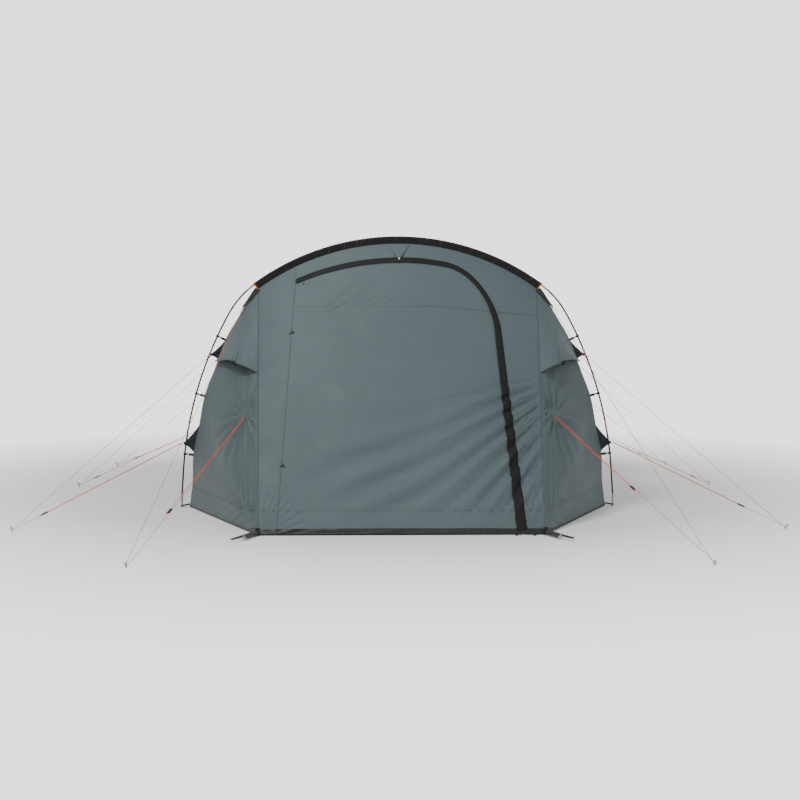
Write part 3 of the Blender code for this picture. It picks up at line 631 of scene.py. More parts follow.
def skin(name, points, faces, flat, finish, sharp, turn_out=False):
    """A smooth object. flat is each point's place on the flat cloth, and edges over sharp degrees stay."""
    mesh = bpy.data.meshes.new(name)
    mesh.from_pydata(points, [], faces)
    layer = mesh.uv_layers.new(name="Cloth")
    for loop in mesh.loops:
        layer.data[loop.index].uv = flat[loop.vertex_index]
    mesh.validate()
    if turn_out:
        work = bmesh.new()
        work.from_mesh(mesh)
        bmesh.ops.recalc_face_normals(work, faces=work.faces)
        work.to_mesh(mesh)
        work.free()
    mesh.shade_smooth()
    mesh.set_sharp_from_angle(angle=math.radians(sharp))
    return link(name, mesh, finish)


def run_lengths(points):
    """How far along a row of points each one is."""
    total, runs = 0.0, [0.0]
    for a, b in zip(points, points[1:]):
        total += (b - a).length
        runs.append(total)
    return runs


def cloth(name, grid, finish, thickness=None):
    """A closed sheet of even thickness about a grid of points."""
    half = (thickness or sizes().cloth) / 2
    rows, columns = len(grid), len(grid[0])
    normals = grid_normals(grid)
    points, faces = [], []
    for offset in (half, -half):
        for line, ways in zip(grid, normals):
            points += [p + n * offset for p, n in zip(line, ways)]
    under = rows * columns
    for i in range(rows - 1):
        for j in range(columns - 1):
            a, b = i * columns + j, (i + 1) * columns + j
            faces.append((a, b, b + 1, a + 1))
            faces.append((a + under, a + 1 + under, b + 1 + under, b + under))
    edge = [i * columns for i in range(rows)]
    edge += [(rows - 1) * columns + j for j in range(1, columns)]
    edge += [i * columns + columns - 1 for i in range(rows - 2, -1, -1)]
    edge += [j for j in range(columns - 2, 0, -1)]
    for a, b in zip(edge, edge[1:] + edge[:1]):
        faces.append((b, a, a + under, b + under))
    across = [run_lengths(line) for line in grid]
    down = [run_lengths([line[j] for line in grid]) for j in range(columns)]
    flat = [(across[i][j], down[j][i]) for i in range(rows) for j in range(columns)] * 2
    return skin(name, points, faces, flat, finish, 60)


def declare_cloth(grid):
    """Works out what the sheet was cut to: its widest row and longest column, and the area between its seams.
    Nothing is kept.
    """
    width = max(run_lengths(line)[-1] for line in grid)
    length = max(run_lengths([line[j] for line in grid])[-1] for j in range(len(grid[0])))
    area = 0.0
    for a, b in zip(grid, grid[1:]):
        for j in range(len(a) - 1):
            area += (a[j + 1] - a[j]).cross(b[j] - a[j]).length / 2
            area += (b[j] - b[j + 1]).cross(a[j + 1] - b[j + 1]).length / 2
    if area < 0.5 * width * length:
        width = 2 * area / length    # a triangle's height over its longest side


def tube_mesh(name, points, radius, finish, sides=12):
    """A round tube along points, with flat ends. radius is a number, or one for each point."""
    radii = each(radius, len(points))
    spots, flat = [], []
    along = (points[1] - points[0]).normalized()
    side = along.orthogonal().normalized()
    runs = run_lengths(points)
    for k, point in enumerate(points):
        ahead = (points[min(k + 1, len(points) - 1)] - points[max(k - 1, 0)]).normalized()
        side = (side - ahead * side.dot(ahead)).normalized()
        other = ahead.cross(side)
        for n in range(sides):
            turn = 2 * math.pi * n / sides
            spots.append(point + (side * math.cos(turn) + other * math.sin(turn)) * radii[k])
            flat.append((turn * radii[k], runs[k]))
    return skin(name, spots, tube_faces(len(points), sides), flat, finish, 50)


def ribbon(name, line, outs, width, thickness, finish):
    """A crowned tape along a line, facing the ways given. width is a number, or one for each point."""
    widths = each(width, len(line))
    shape = ((-0.5, 0.0), (-0.46, 0.8), (-0.25, 1.0), (0.0, 1.08), (0.25, 1.0), (0.46, 0.8), (0.5, 0.0),
             (0.25, -0.05), (-0.25, -0.05))
    spots, flat = [], []
    runs = run_lengths(line)
    for k, (point, out) in enumerate(zip(line, outs)):
        ahead = (line[min(k + 1, len(line) - 1)] - line[max(k - 1, 0)]).normalized()
        side = ahead.cross(out).normalized()
        up = side.cross(ahead).normalized()
        for across, rise in shape:
            spots.append(point + side * (across * widths[k]) + up * (rise * thickness))
            flat.append((across * widths[k], runs[k]))
    return skin(name, spots, tube_faces(len(line), len(shape)), flat, finish, 50, turn_out=True)


def extruded(name, outline, depth, place, finish, round_edge=0.0008):
    """An outline with rounded edges, extruded about its own plane and set in a frame."""
    shape = bmesh.new()
    ring = [shape.verts.new((x, y, -depth / 2)) for x, y in outline]
    face = shape.faces.new(ring)
    grown = bmesh.ops.extrude_face_region(shape, geom=[face])
    moved = [item for item in grown["geom"] if isinstance(item, bmesh.types.BMVert)]
    bmesh.ops.translate(shape, verts=moved, vec=(0, 0, depth))
    bmesh.ops.recalc_face_normals(shape, faces=shape.faces)
    mesh = bpy.data.meshes.new(name)
    shape.to_mesh(mesh)
    shape.free()
    mesh.transform(place)
    piece = link(name, mesh, finish)
    soften = piece.modifiers.new("round_edges", "BEVEL")
    soften.width = round_edge
    soften.segments = 2
    soften.angle_limit = math.radians(50)
    mesh.shade_smooth()
    mesh.set_sharp_from_angle(angle=math.radians(40))
    return piece


def joined(name, pieces):
    """Several meshes as one object."""
    whole = bmesh.new()
    finishes = []
    for piece in pieces:
        data = piece.data
        for slot in data.materials:
            if slot not in finishes:
                finishes.append(slot)
        before = len(whole.faces)
        whole.from_mesh(data)
        whole.faces.ensure_lookup_table()
        number = finishes.index(data.materials[0])
        for face in whole.faces[before:]:
            face.material_index = number
        bpy.data.objects.remove(piece)
    mesh = bpy.data.meshes.new(name)
    whole.to_mesh(mesh)
    whole.free()
    made = link(name, mesh, finishes[0])
    for finish in finishes[1:]:
        mesh.materials.append(finish)
    return made


def frame_of(origin, x_axis, y_axis):
    z_axis = x_axis.cross(y_axis).normalized()
    return Matrix.Translation(origin) @ Matrix((x_axis, y_axis, z_axis)).transposed().to_4x4()


# ---------------------------------------------------------------- the tent's lines and skins


def unit_half_arch(fine):
    """Stations down a pole's right half, with its shares of half the width and of the height there."""
    points = [(0.0, 0.0, 0.0)]
    station = x = z = angle = 0.0
    for radius, degrees, steps in (TOP_BEND, SHOULDER_BEND, LEG_BEND):
        step = math.radians(degrees / (steps * fine))
        for _ in range(steps * fine):
            x += radius * (math.sin(angle + step) - math.sin(angle))
            z += radius * (math.cos(angle) - math.cos(angle + step))
            angle += step
            station += 1 / fine
            points.append((station, x, z))
    foot = [STRAIGHT_FOOT * k / fine for k in range(1, fine + 1)]
    points += [(station + k / fine, x + r * math.cos(angle), z + r * math.sin(angle))
               for k, r in enumerate(foot, 1)]
    last = points[-1]
    return [(s, px / last[1], 1 - pz / last[2]) for s, px, pz in points]


def at_height(points, height, side):
    """The point of a left-to-right arch at a height, on one side."""
    half = len(points) // 2
    leg = points[half:] if side > 0 else points[half::-1]
    for above, below in zip(leg, leg[1:]):
        if below.z <= height:
            return above.lerp(below, (above.z - height) / (above.z - below.z))
    return leg[-1].copy()


class Arch:
    """One pole's arch, sized and placed by the frame, with the line where the fly meets it."""

    def __init__(self, name, fine=8, scallop=SCALLOP):
        low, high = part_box(f"{name}_pole")
        self.name, self.fine, self.scallop = name, fine, scallop
        self.y = (low.y + high.y) / 2
        self.height = high.z - POLE_RADIUS
        half = unit_half_arch(fine)
        foot = low.z / self.height
        share = next(x for _, x, z in half if z <= foot)
        self.half_width = middle_of(f"{name}_pole_foot_right").x / share
        right = [Vector((x * self.half_width, self.y, z * self.height)) for _, x, z in half]
        self.pole = [Vector((-p.x, p.y, p.z)) for p in right[:0:-1]] + right
        self.middle = len(half) - 1
        self.fly = [self.fly_point(i) for i in range(len(self.pole))]
        top = [self.fly[i] for i in self.sleeve_range()]
        self.top, self.top_x = top, [p.x for p in top]

    def station(self, i):
        return (i - self.middle) / self.fine

    def outward(self, i):
        along = self.pole[min(i + 1, len(self.pole) - 1)] - self.pole[max(i - 1, 0)]
        return Vector((-along.z, 0, along.x)).normalized()

    def fly_point(self, i):
        share = min(max((abs(self.station(i)) - SLEEVE_STATION) / DROP_STATIONS, 0), 1)
        drop = lerp(SLEEVE_DROP, CLIP_DROP, share)
        if abs(self.station(i)) > SLEEVE_STATION:
            held = [self.sleeve_end_height(), *CLIP_HEIGHTS, FLY_LIFT]
            height = self.pole[i].z
            for high, low in zip(held, held[1:]):
                if low < height < high:
                    drop += self.scallop * math.sin(math.pi * (height - low) / (high - low)) ** 2
        point = self.pole[i] - self.outward(i) * drop
        point.z = max(point.z, FLY_LIFT)
        return point

    def sleeve_end_height(self):
        return self.pole[self.middle + SLEEVE_STATION * self.fine].z

    def sleeve_range(self):
        reach = SLEEVE_STATION * self.fine
        return range(self.middle - reach, self.middle + reach + 1)

    def fly_at(self, share_x):
        """The fly line over the top, at a share of the sleeve's half width from -1 to 1."""
        x = min(max(share_x, -1), 1) * self.top[-1].x
        k = min(max(bisect_right(self.top_x, x), 1), len(self.top) - 1)
        a, b = self.top[k - 1], self.top[k]
        return a.lerp(b, (x - a.x) / (b.x - a.x))

    def side_line(self, side, lowest=0.0):
        """The fly line from the sleeve's end down one side, stopping at a height."""
        start, end = SLEEVE_STATION * self.fine, self.middle + 1
        points = [self.fly[self.middle + side * k] for k in range(start, end)]
        points = [p for p in points if p.z > lowest]
        if lowest > 0:
            points.append(at_height(self.fly, lowest, side))
        return points


class EndWall:
    """The sloping end between an arch and a base line: a ruled wall, and a cone to each base corner."""

    def __init__(self, arch, base_y, base_width):
        self.arch, self.base_y = arch, base_y
        self.half_top = arch.top[-1].x
        self.half_base = base_width / 2
        self.slope = (self.point(0, 1) - self.point(0, 0)).length

    def half_width(self, v):
        return lerp(self.half_top, self.half_base, v)

    def point(self, x, v):
        """The wall at x, v of the way from the arch to the base line."""
        share = x / self.half_width(v)
        return self.arch.fly_at(share).lerp(Vector((share * self.half_base, self.base_y, FLY_LIFT)), v)

    def corner(self, side):
        return Vector((side * self.half_base, self.base_y, FLY_LIFT))

    def cone_point(self, top, side, distance):
        return top + (self.corner(side) - top).normalized() * distance


FULL = {name: Arch(name) for name in ARCHES}
FRONT, MIDDLE, REAR = FULL.values()
PLAIN = {name: Arch(name, 1, 0.0) for name in ARCHES}
HINGE = Vector(next(j for j in frame["record"]["behaviour"]["joints"] if j["name"] == "door_hinge")["pos_m"])
FRONT_END = EndWall(FRONT, HINGE.y, FRONT_BASE_WIDTH)
REAR_END = EndWall(REAR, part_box("groundsheet")[1].y, REAR_BASE_WIDTH)
BEHIND = Vector((0, 8, 1.0))


def zip_x(z):
    """The zip's x where it runs down the right of the door, at a height."""
    return lerp(DOOR_ZIP_BASE_X, DOOR_ZIP_TOP_X, min(max(z / FRONT.height, 0), 1))


def hinge_x(z):
    return lerp(DOOR_HINGE_BASE_X, DOOR_HINGE_TOP_X, min(max(z / FRONT.height, 0), 1))


def fan(x, z, centre, period, turn=0.0):
    """Folds that spread from a point, as a wave of the angle round it. Gives the wave and the distance."""
    dx, dz = x - centre[0], z - centre[1]
    angle = math.degrees(math.atan2(dz, dx)) + turn
    away = math.hypot(dx, dz)
    wander = rough(x * 1.3, z * 1.3, centre[0]) * 2.4
    return ripple(angle, period, wander), away, angle


def door_folds(x, z):
    """Long folds drawn from the lower left of the door up to its zip."""
    deep = sizes().fold_depth
    wave, away, angle = fan(x, z, (1.50, 1.10), 6.4)
    angle += 180
    inside = ease(8, 20, angle) * (1 - ease(50, 62, angle))
    broad = inside * ease(0.08, 0.25, z) * (1 - ease(1.7, 2.35, away)) * ease(0.3, 0.8, away)
    crest = 0.5 * (abs(wave) ** 0.7) * (1 if wave > 0 else -1) + 0.5 * wave
    total = crest * deep * broad * (0.65 + 0.5 * rough(x * 2.1, z * 2.1, 7.0))
    wave, away, _ = fan(x, z, (1.3, 1.0), 2.9)
    near_zip = ease(0.1, 0.62, x) * (1 - ease(0.9, 1.15, z)) * ease(0.05, 0.2, z)
    return total + wave * deep * 0.26 * near_zip


def toggle_folds(x, z):
    """Fine creases from the two toggles and from the seam across the top of the door."""
    deep = sizes().pucker_depth
    total = 0.0
    for centre, low, high, reach in (((-0.72, 1.30), 22, 62, 0.75), ((-0.80, 0.42), -20, 50, 0.35)):
        wave, away, angle = fan(x, z, centre, 9.0)
        inside = ease(low, low + 12, angle) * (1 - ease(high - 12, high, angle))
        total += wave * deep * 0.9 * inside * ease(0.02, 0.08, away) * (1 - ease(reach * 0.3, reach, away))
    slant = ripple(z - 0.62 * x, 0.045, rough(x * 4, z * 4) * 2)
    above = ease(HIGH_SEAM + 0.005, HIGH_SEAM + 0.03, z) * (1 - ease(HIGH_SEAM + 0.06, HIGH_SEAM + 0.15, z))
    return total + slant * deep * 0.8 * above * ease(-0.5, -0.25, x) * (1 - ease(0.0, 0.2, x))


def seam_puckers(x, z):
    """Small puckers beside the zip, in the narrow panels and at the base."""
    deep = sizes().pucker_depth
    gap = zip_x(z) - x
    if gap > 0:
        total = ripple(z + 0.5 * x, 0.047, rough(x * 5, z * 5) * 2.5)
        total *= deep * 0.9 * math.exp(-gap / 0.07) * (1 - ease(0.8, 1.3, z))
    else:
        wave = ripple(z - 0.18 * x, 0.062, rough(x * 3, z * 6, 3.0) * 3.5)
        total = wave * deep * 0.9 * ease(0.0, 0.03, -gap) * (0.45 + 0.55 * rough(0.0, z * 2.5, 5.0))
    strip = hinge_x(z) - x
    if strip > -0.05:
        wave = ripple(z - 0.55 * strip, 0.085, rough(x * 4, z * 7, 9.0) * 4.5)
        patchy = ease(-0.15, 0.35, rough(x * 2, z * 5, 12.0))
        total += wave * deep * 0.8 * ease(-0.05, 0.02, strip) * (1 - ease(0.75, 1.15, z)) * patchy
    for side in (-1, 1):
        wave, away, _ = fan(x, z, (side * 0.95, -0.02), 10.0)
        total += wave * deep * 1.2 * ease(0.02, 0.07, away) * (1 - ease(0.14, 0.42, away))
    across_seam = abs(z - LOW_SEAM)
    ruffle = ripple(x, 0.041, rough(x * 3.0, 1.0) * 3)
    total += ruffle * deep * 0.45 * math.exp(-across_seam / 0.03) * ease(0.003, 0.012, across_seam)
    return total


def front_relief(x, v, z):
    """How far the front cloth stands off its ruled wall. It is nothing along the wall's own edges."""
    to_corner = (FRONT_END.half_width(v) - abs(x)) / 0.04
    to_top = v * FRONT_END.slope / 0.05
    to_base = (1 - v) * FRONT_END.slope / 0.03
    held = min(max(min(to_corner, to_top, to_base), 0), 1)
    wide = 0.007 * rough(x * 1.1, z * 1.1, 2.0) + 0.003 * rough(x * 3.1, z * 2.4, 4.0)
    return held * (wide + door_folds(x, z) + toggle_folds(x, z) + seam_puckers(x, z))


def front_skin(x, v, lift=0.0):
    """A point of the front cloth, raised from it by lift."""
    step = 0.002
    here = FRONT_END.point(x, v)
    across = FRONT_END.point(x + step, v) - FRONT_END.point(x - step, v)
    down = FRONT_END.point(x, min(v + step, 1)) - FRONT_END.point(x, max(v - step, 0))
    out = down.cross(across).normalized()
    if out.y > 0:
        out.negate()
    return here + out * (front_relief(x, v, here.z) + lift)


def front_out(x, v):
    return (front_skin(x, v, 0.01) - front_skin(x, v)).normalized()


def v_at_height(x, z):
    """How far down the wall a height is, at an x."""
    low, high = 0.0, 1.0
    for _ in range(24):
        half = (low + high) / 2
        low, high = (half, high) if FRONT_END.point(x, half).z > z else (low, half)
    return (low + high) / 2


def guy_hold(side):
    """Where the porch guy's lower end holds the side panel."""
    arch = PLAIN["front"]
    ruling = at_height(arch.fly, PORCH_GUY_RULING, side)
    return ruling.lerp(FRONT_END.corner(side), PORCH_GUY_SHARE)


def side_relief(point, side, top):
    """How far a side panel's cloth stands off its cone."""
    deep = sizes().pucker_depth
    corner = FRONT_END.corner(side)
    spot = point - guy_hold(side)
    away = spot.length
    angle = math.degrees(math.atan2(spot.z, spot.dot(Vector((side, 0.75, 0)).normalized())))
    rays = ripple(angle, 24, rough(point.y * 3, point.z * 3, side) * 2.0)
    rays *= deep * 1.9 * ease(0.02, 0.09, away) * (1 - ease(0.14, 0.52, away))
    pulled = 0.010 * math.exp(-(away / 0.07) ** 2)
    to_seam = (point - corner).cross(FRONT.top[-1 if side > 0 else 0] - corner).length
    to_seam /= (FRONT.top[-1] - FRONT_END.corner(1)).length
    drapes = ripple(to_seam, 0.055, rough(point.z * 2, side, 3.0) * 2.6)
    drapes *= deep * 1.2 * math.exp(-to_seam / 0.13)
    drapes *= (1 - ease(0.55, 0.85, point.z)) * ease(0.1, 0.2, point.z)
    low = ripple(point.z + 0.3 * to_seam, 0.05, rough(to_seam * 6, point.z * 4, 8.0) * 2.5)
    low *= deep * 0.9 * (1 - ease(0.14, 0.3, point.z)) * (1 - ease(0.25, 0.6, to_seam))
    wide = 0.010 * rough(point.y * 1.9, point.z * 1.6, side * 3.0)
    puff = 0.018 * math.sin(math.pi * min(to_seam / 0.6, 1)) * ease(0.15, 0.5, point.z)
    held = min(to_seam / 0.03, (point - top).length / 0.05, (corner - point).length / 0.12, 1)
    held *= ease(0.0, 0.04, point.z)
    return max(held, 0) * (wide + puff + rays + drapes + low) + pulled


def side_out(side, top):
    """The way that a ruling of the side panel faces."""
    corner = FRONT_END.corner(side)
    line = FRONT.side_line(side)
    k = min(range(len(line)), key=lambda n: (line[n] - top).length_squared)
    tangent = line[min(k + 1, len(line) - 1)] - line[max(k - 1, 0)]
    out = tangent.cross(corner - top).normalized()
    return out if out.y < 0 else -out


def side_skin(side, top, distance, lift=0.0):
    spot = FRONT_END.cone_point(top, side, distance)
    return spot + side_out(side, top) * (side_relief(spot, side, top) + lift)


def door_outline(inset, across=110, round_steps=26):
    """The door's top edge and corner in (x, v), from the sewn side to the zip, drawn in by an inset."""
    wall = FRONT_END
    v_top = (DOOR_TOP_DROP + inset) / wall.slope
    v_corner = (DOOR_TOP_DROP + DOOR_CORNER_HEIGHT) / wall.slope
    hinge = lerp(DOOR_HINGE_TOP_X, DOOR_HINGE_BASE_X, v_top) + (HINGE_SEAM if inset > 0 else -HINGE_SEAM)
    side_x = lerp(DOOR_ZIP_TOP_X, DOOR_ZIP_BASE_X, v_corner) - inset
    corner_x = side_x - DOOR_CORNER_WIDTH
    points = [(lerp(hinge, corner_x, k / across), v_top) for k in range(across)]
    for k in range(round_steps + 1):
        turn = math.pi / 2 * k / round_steps
        x = corner_x + DOOR_CORNER_WIDTH * math.sin(turn)
        points.append((x, v_corner - (v_corner - v_top) * math.cos(turn)))
    return points


def zip_line(shift=0.0, across=110, round_steps=26, down_steps=110, end=1.0):
    """The zip's centre line in (x, v), or a line beside it, along the top, round the corner and down."""
    top = door_outline(shift, across, round_steps)
    line = list(top)
    for j in range(1, down_steps + 1):
        share = j / down_steps * end
        line.append((lerp(top[-1][0], DOOR_ZIP_BASE_X - shift, share), lerp(top[-1][1], 1, share)))
    return line


def vent_share(point, side):
    top = FRONT.side_line(side)[0]
    return max(1 - (top.z - point.z) / (top.z - VENT_FOOT_HEIGHT), 0)


def skin_tape(name, spots, width, thickness, finish, lift=0.0008):
    """A tape on the front cloth, along (x, v) spots."""
    line = [front_skin(x, v, lift) for x, v in spots]
    outs = [front_out(x, v) for x, v in spots]
    return ribbon(name, line, outs, width, thickness, finish)


# ---------------------------------------------------------------- the stage


CAMERA_HEIGHT = 1.5
CAMERA_BACK = 10.0           # from the front arch
CAMERA_LEFT = 0.20
CAMERA_LENS = 60.75
CAMERA_TILT = 4.03
CAMERA_TURN = 1.23
AMBIENT = 0.60               # how bright the studio's walls are to the tent, and to the camera
BACKDROP = 2.2
FLOOR_RADIUS = 45.0
FLOOR_SPOKES = 96
FLOOR_CLEARS = (2.6, 5.6)    # how far out the floor starts to clear, and is gone
LIGHT_AIM_HEIGHT = 0.9
LIGHTS = (                   # place, size and watts
    ("key", (-3.0, -4.6, 7.6), 2.0, 360),
    ("fill", (5.5, -9.0, 3.0), 5.0, 130),
    ("back", (3.0, 8.0, 6.0), 5.0, 200),
)


def add_area_light(name, spot, size, power):
    aim = Vector((0, FRONT.y, LIGHT_AIM_HEIGHT))
    data = bpy.data.lights.new(name, "AREA")
    data.shape = "DISK"
    data.size = size
    data.energy = power
    lamp = bpy.data.objects.new(name, data)
    lamp.location = spot
    lamp.rotation_euler = (aim - Vector(spot)).to_track_quat("-Z", "Y").to_euler()
    bpy.context.scene.collection.objects.link(lamp)


class TENT_OT_stage(bpy.types.Operator):
    """Make the camera, the floor and the studio light"""

    bl_idname = "tent.stage"
    bl_label = "Stage"

    def execute(self, context):
        data = bpy.data.cameras.new("camera")
        data.lens = CAMERA_LENS
        camera = bpy.data.objects.new("camera", data)
        camera.location = (-CAMERA_LEFT, FRONT.y - CAMERA_BACK, CAMERA_HEIGHT)
        camera.rotation_euler = (math.radians(90 - CAMERA_TILT), 0, -math.radians(CAMERA_TURN))
        context.scene.collection.objects.link(camera)
        context.scene.camera = camera

        disc = bmesh.new()
        bmesh.ops.create_circle(
            disc, cap_ends=True, cap_tris=True, segments=FLOOR_SPOKES, radius=FLOOR_RADIUS)
        data = bpy.data.meshes.new("studio_floor")
        disc.to_mesh(data)
        disc.free()
        finish, shader = new_finish("studio_floor", colours().floor, 0.9)
        spot = node(finish, "ShaderNodeVectorMath", {0: place_of(finish)}, operation="LENGTH")
        far = ramp(finish, spot.outputs["Value"], *FLOOR_CLEARS)
        clear = node(finish, "ShaderNodeBsdfTransparent")
        mixed = node(finish, "ShaderNodeMixShader", {"Fac": far})
        join(finish, shader.outputs["BSDF"], mixed.inputs[1])
        join(finish, clear.outputs["BSDF"], mixed.inputs[2])
        join(finish, mixed.outputs["Shader"], finish.node_tree.nodes["Material Output"].inputs["Surface"])
        floor = link("studio_floor", data, finish)
        floor.location.z = -0.0005

        world = bpy.data.worlds.new("studio")
        world.use_nodes = True
        ways = node(world, "ShaderNodeLightPath")
        seen = node(world, "ShaderNodeMapRange", {
            "Value": ways.outputs["Is Camera Ray"], "To Min": AMBIENT, "To Max": BACKDROP})
        join(world, seen.outputs["Result"], world.node_tree.nodes["Background"].inputs["Strength"])
        world.node_tree.nodes["Background"].inputs["Color"].default_value = (1, 1, 1, 1)
        context.scene.world = world
        for light in LIGHTS:
            add_area_light(*light)
        return {"FINISHED"}


# ---------------------------------------------------------------- the guys


def guy_route(high, low, peg, runner):
    """The V of one guy, from its upper tie round the peg, up to the lower loop and back past the runner."""
    at_peg = peg + UP * PEG_CORD_HEIGHT
    up_low = (low - at_peg).normalized()
    side = up_low.cross(UP).normalized()
    shift = CORD_TURN_RADIUS - (PEG_RADIUS + CORD_RADIUS + PEG_CORD_GAP)
    centre = at_peg + up_low * shift
    head = (low - centre).normalized()
    start = high + (centre - side * CORD_TURN_RADIUS - high).normalized() * CORD_START_GAP
    points = [start]
    for k in range(CORD_TURN_STEPS + 1):
        turn = math.pi * (k / CORD_TURN_STEPS - 0.5)
        points.append(centre + (side * math.sin(turn) - head * math.cos(turn)) * CORD_TURN_RADIUS)
    loop = low - head * CORD_TURN_RADIUS
    for k in range(CORD_TURN_STEPS + 1):
        turn = math.pi * (k / CORD_TURN_STEPS - 0.5)
        points.append(loop + (head * math.cos(turn) - side * math.sin(turn)) * CORD_TURN_RADIUS)
    end = (runner - centre).dot(head) - RUNNER_LENGTH / 2 - CORD_TAIL
    points.append(centre + head * end - side * CORD_TURN_RADIUS)
    return points, head


def peg_spot(name):
    """Where a peg leaves the ground. Its hook turns away from the cord, square to the shank."""
    low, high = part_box(f"{name}_peg")
    hooked = {"x": high.x - low.x - 2 * PEG_RADIUS, "y": high.y - low.y - 2 * PEG_RADIUS}
    runner = middle_of(f"{name}_runner")
    middle = (low + high) / 2
    away = middle - runner
    way = Vector((math.copysign(hooked["x"], away.x), math.copysign(hooked["y"], away.y), 0))
    return Vector((middle.x, middle.y, 0)) - way / 2


def inward_at(arch, height, side, span):
    along = at_height(arch.pole, height + span, side) - at_height(arch.pole, height - span, side)
    return Vector((-side * abs(along.z), 0, -abs(along.x))).normalized()


def guy_ends(name, side, peg):
    """Upper and lower end of a guy."""
    if name == "porch":
        high = at_height(PLAIN["front"].fly, PORCH_GUY_HIGH, side) - Vector((0, PORCH_GUY_HIGH_AHEAD, 0))
        low = guy_hold(side)
        return high, low + (peg - low).normalized() * PANEL_GUY_GAP
    arch = PLAIN[name.split("_")[0]]
    high_z, low_z = GUY_HEIGHTS[name]
    clear = POLE_RADIUS + CORD_RADIUS + CORD_START_GAP
    high = at_height(arch.pole, high_z, side) - inward_at(arch, high_z, side, clear) * clear
    return high, at_height(arch.pole, low_z, side) + Vector((side * WING_REACH, 0, 0))


def cord_curve(name, points, radius, finish):
    data = bpy.data.curves.new(name, "CURVE")
    data.dimensions = "3D"
    data.bevel_depth = radius
    data.bevel_resolution = 3
    data.use_fill_caps = True
    line = data.splines.new("POLY")
    line.points.add(len(points) - 1)
    for slot, point in zip(line.points, points):
        slot.co = (*point, 1.0)
    return link(name, data, finish)


def hitch(name, around, axis, radius, ways, finish):
    """A cord's hitch round something, with its tails: three turns, then short ends that stand away."""
    side = axis.orthogonal().normalized()
    other = axis.cross(side)
    turns, steps = 3, 16
    points = []
    for k in range(turns * steps + 1):
        turn = 2 * math.pi * k / steps
        rise = (k / (turns * steps) - 0.5) * turns * CORD_RADIUS * 2.1
        points.append(around + axis * rise + (side * math.cos(turn) + other * math.sin(turn)) * radius)
    pieces = [tube_mesh(f"{name}_turns", points, CORD_RADIUS, finish, 8)]
    for k, way in enumerate(ways):
        start = around + way.normalized() * radius
        bow = way.length * 0.25
        tail = [start + way * (s / 8) + Vector((0, 0, -bow * (s / 8) ** 2)) for s in range(9)]
        pieces.append(tube_mesh(f"{name}_tail_{k}", tail, CORD_RADIUS * 0.9, finish, 8))
    return joined(name, pieces)


def knot(name, spot, axis, finish):
    """A stopper knot: a crossed double turn round its own cord."""
    side = axis.orthogonal().normalized()
    other = axis.cross(side)
    points = []
    for k in range(41):
        turn = 4 * math.pi * k / 40
        swell = CORD_RADIUS * (1.9 + 0.7 * math.cos(1.5 * turn))
        rise = CORD_RADIUS * 2.2 * math.sin(1.5 * turn)
        points.append(spot + axis * rise + (side * math.cos(turn) + other * math.sin(turn)) * swell)
    return tube_mesh(name, points, CORD_RADIUS * 0.95, finish, 8)


class TENT_OT_guys(bpy.types.Operator):
    """Make the eight guys with their hitches and stopper knots"""

    bl_idname = "tent.guys"
    bl_label = "Guys"

    def execute(self, context):
        braid = cord_finish("guy_braid")
        for name in ("front_pole", "middle_pole", "rear_pole", "porch"):
            for word, side in SIDES.items():
                whole = f"{name}_{word}"
                peg = peg_spot(whole)
                high, low = guy_ends(name, side, peg)
                points, head = guy_route(high, low, peg, middle_of(f"{whole}_runner"))
                piece = cord_curve(f"{whole}_guy_line", points, CORD_RADIUS, braid)
                place_piece(piece, "root", "guyline", f"{whole}_guy")
                tie = self.upper_hitch(name, whole, side, high, points, braid)
                stop = knot(f"{whole}_stopper_knot", points[-1], head, braid)
                place_piece(stop, f"{whole}_runner_body", "guyline")
                length = run_lengths(points)[-1]
        return {"FINISHED"}

    def upper_hitch(self, name, whole, side, high, points, braid):
        away = (points[1] - points[0]).normalized()
        if name == "porch":
            spot, axis, radius = high + away * 0.002, away, CORD_RADIUS * 2.2
            ways = [Vector((side * 0.018, -0.01, -0.022)), Vector((side * 0.006, -0.02, -0.028))]
        else:
            arch = PLAIN[name.split("_")[0]]
            height = GUY_HEIGHTS[name][0]
            spot = at_height(arch.pole, height, side)
            above, below = (at_height(arch.pole, height + step, side) for step in (0.02, -0.02))
            axis = (above - below).normalized()
            radius = POLE_RADIUS + CORD_RADIUS
            ways = [Vector((side * 0.030, -0.012, 0.010)), Vector((side * 0.026, -0.010, -0.016))]
        made = hitch(f"{whole}_hitch", spot, axis, radius, ways, braid)
        return place_piece(made, "root", "guyline")


# ---------------------------------------------------------------- poles, feet, sleeves and clips


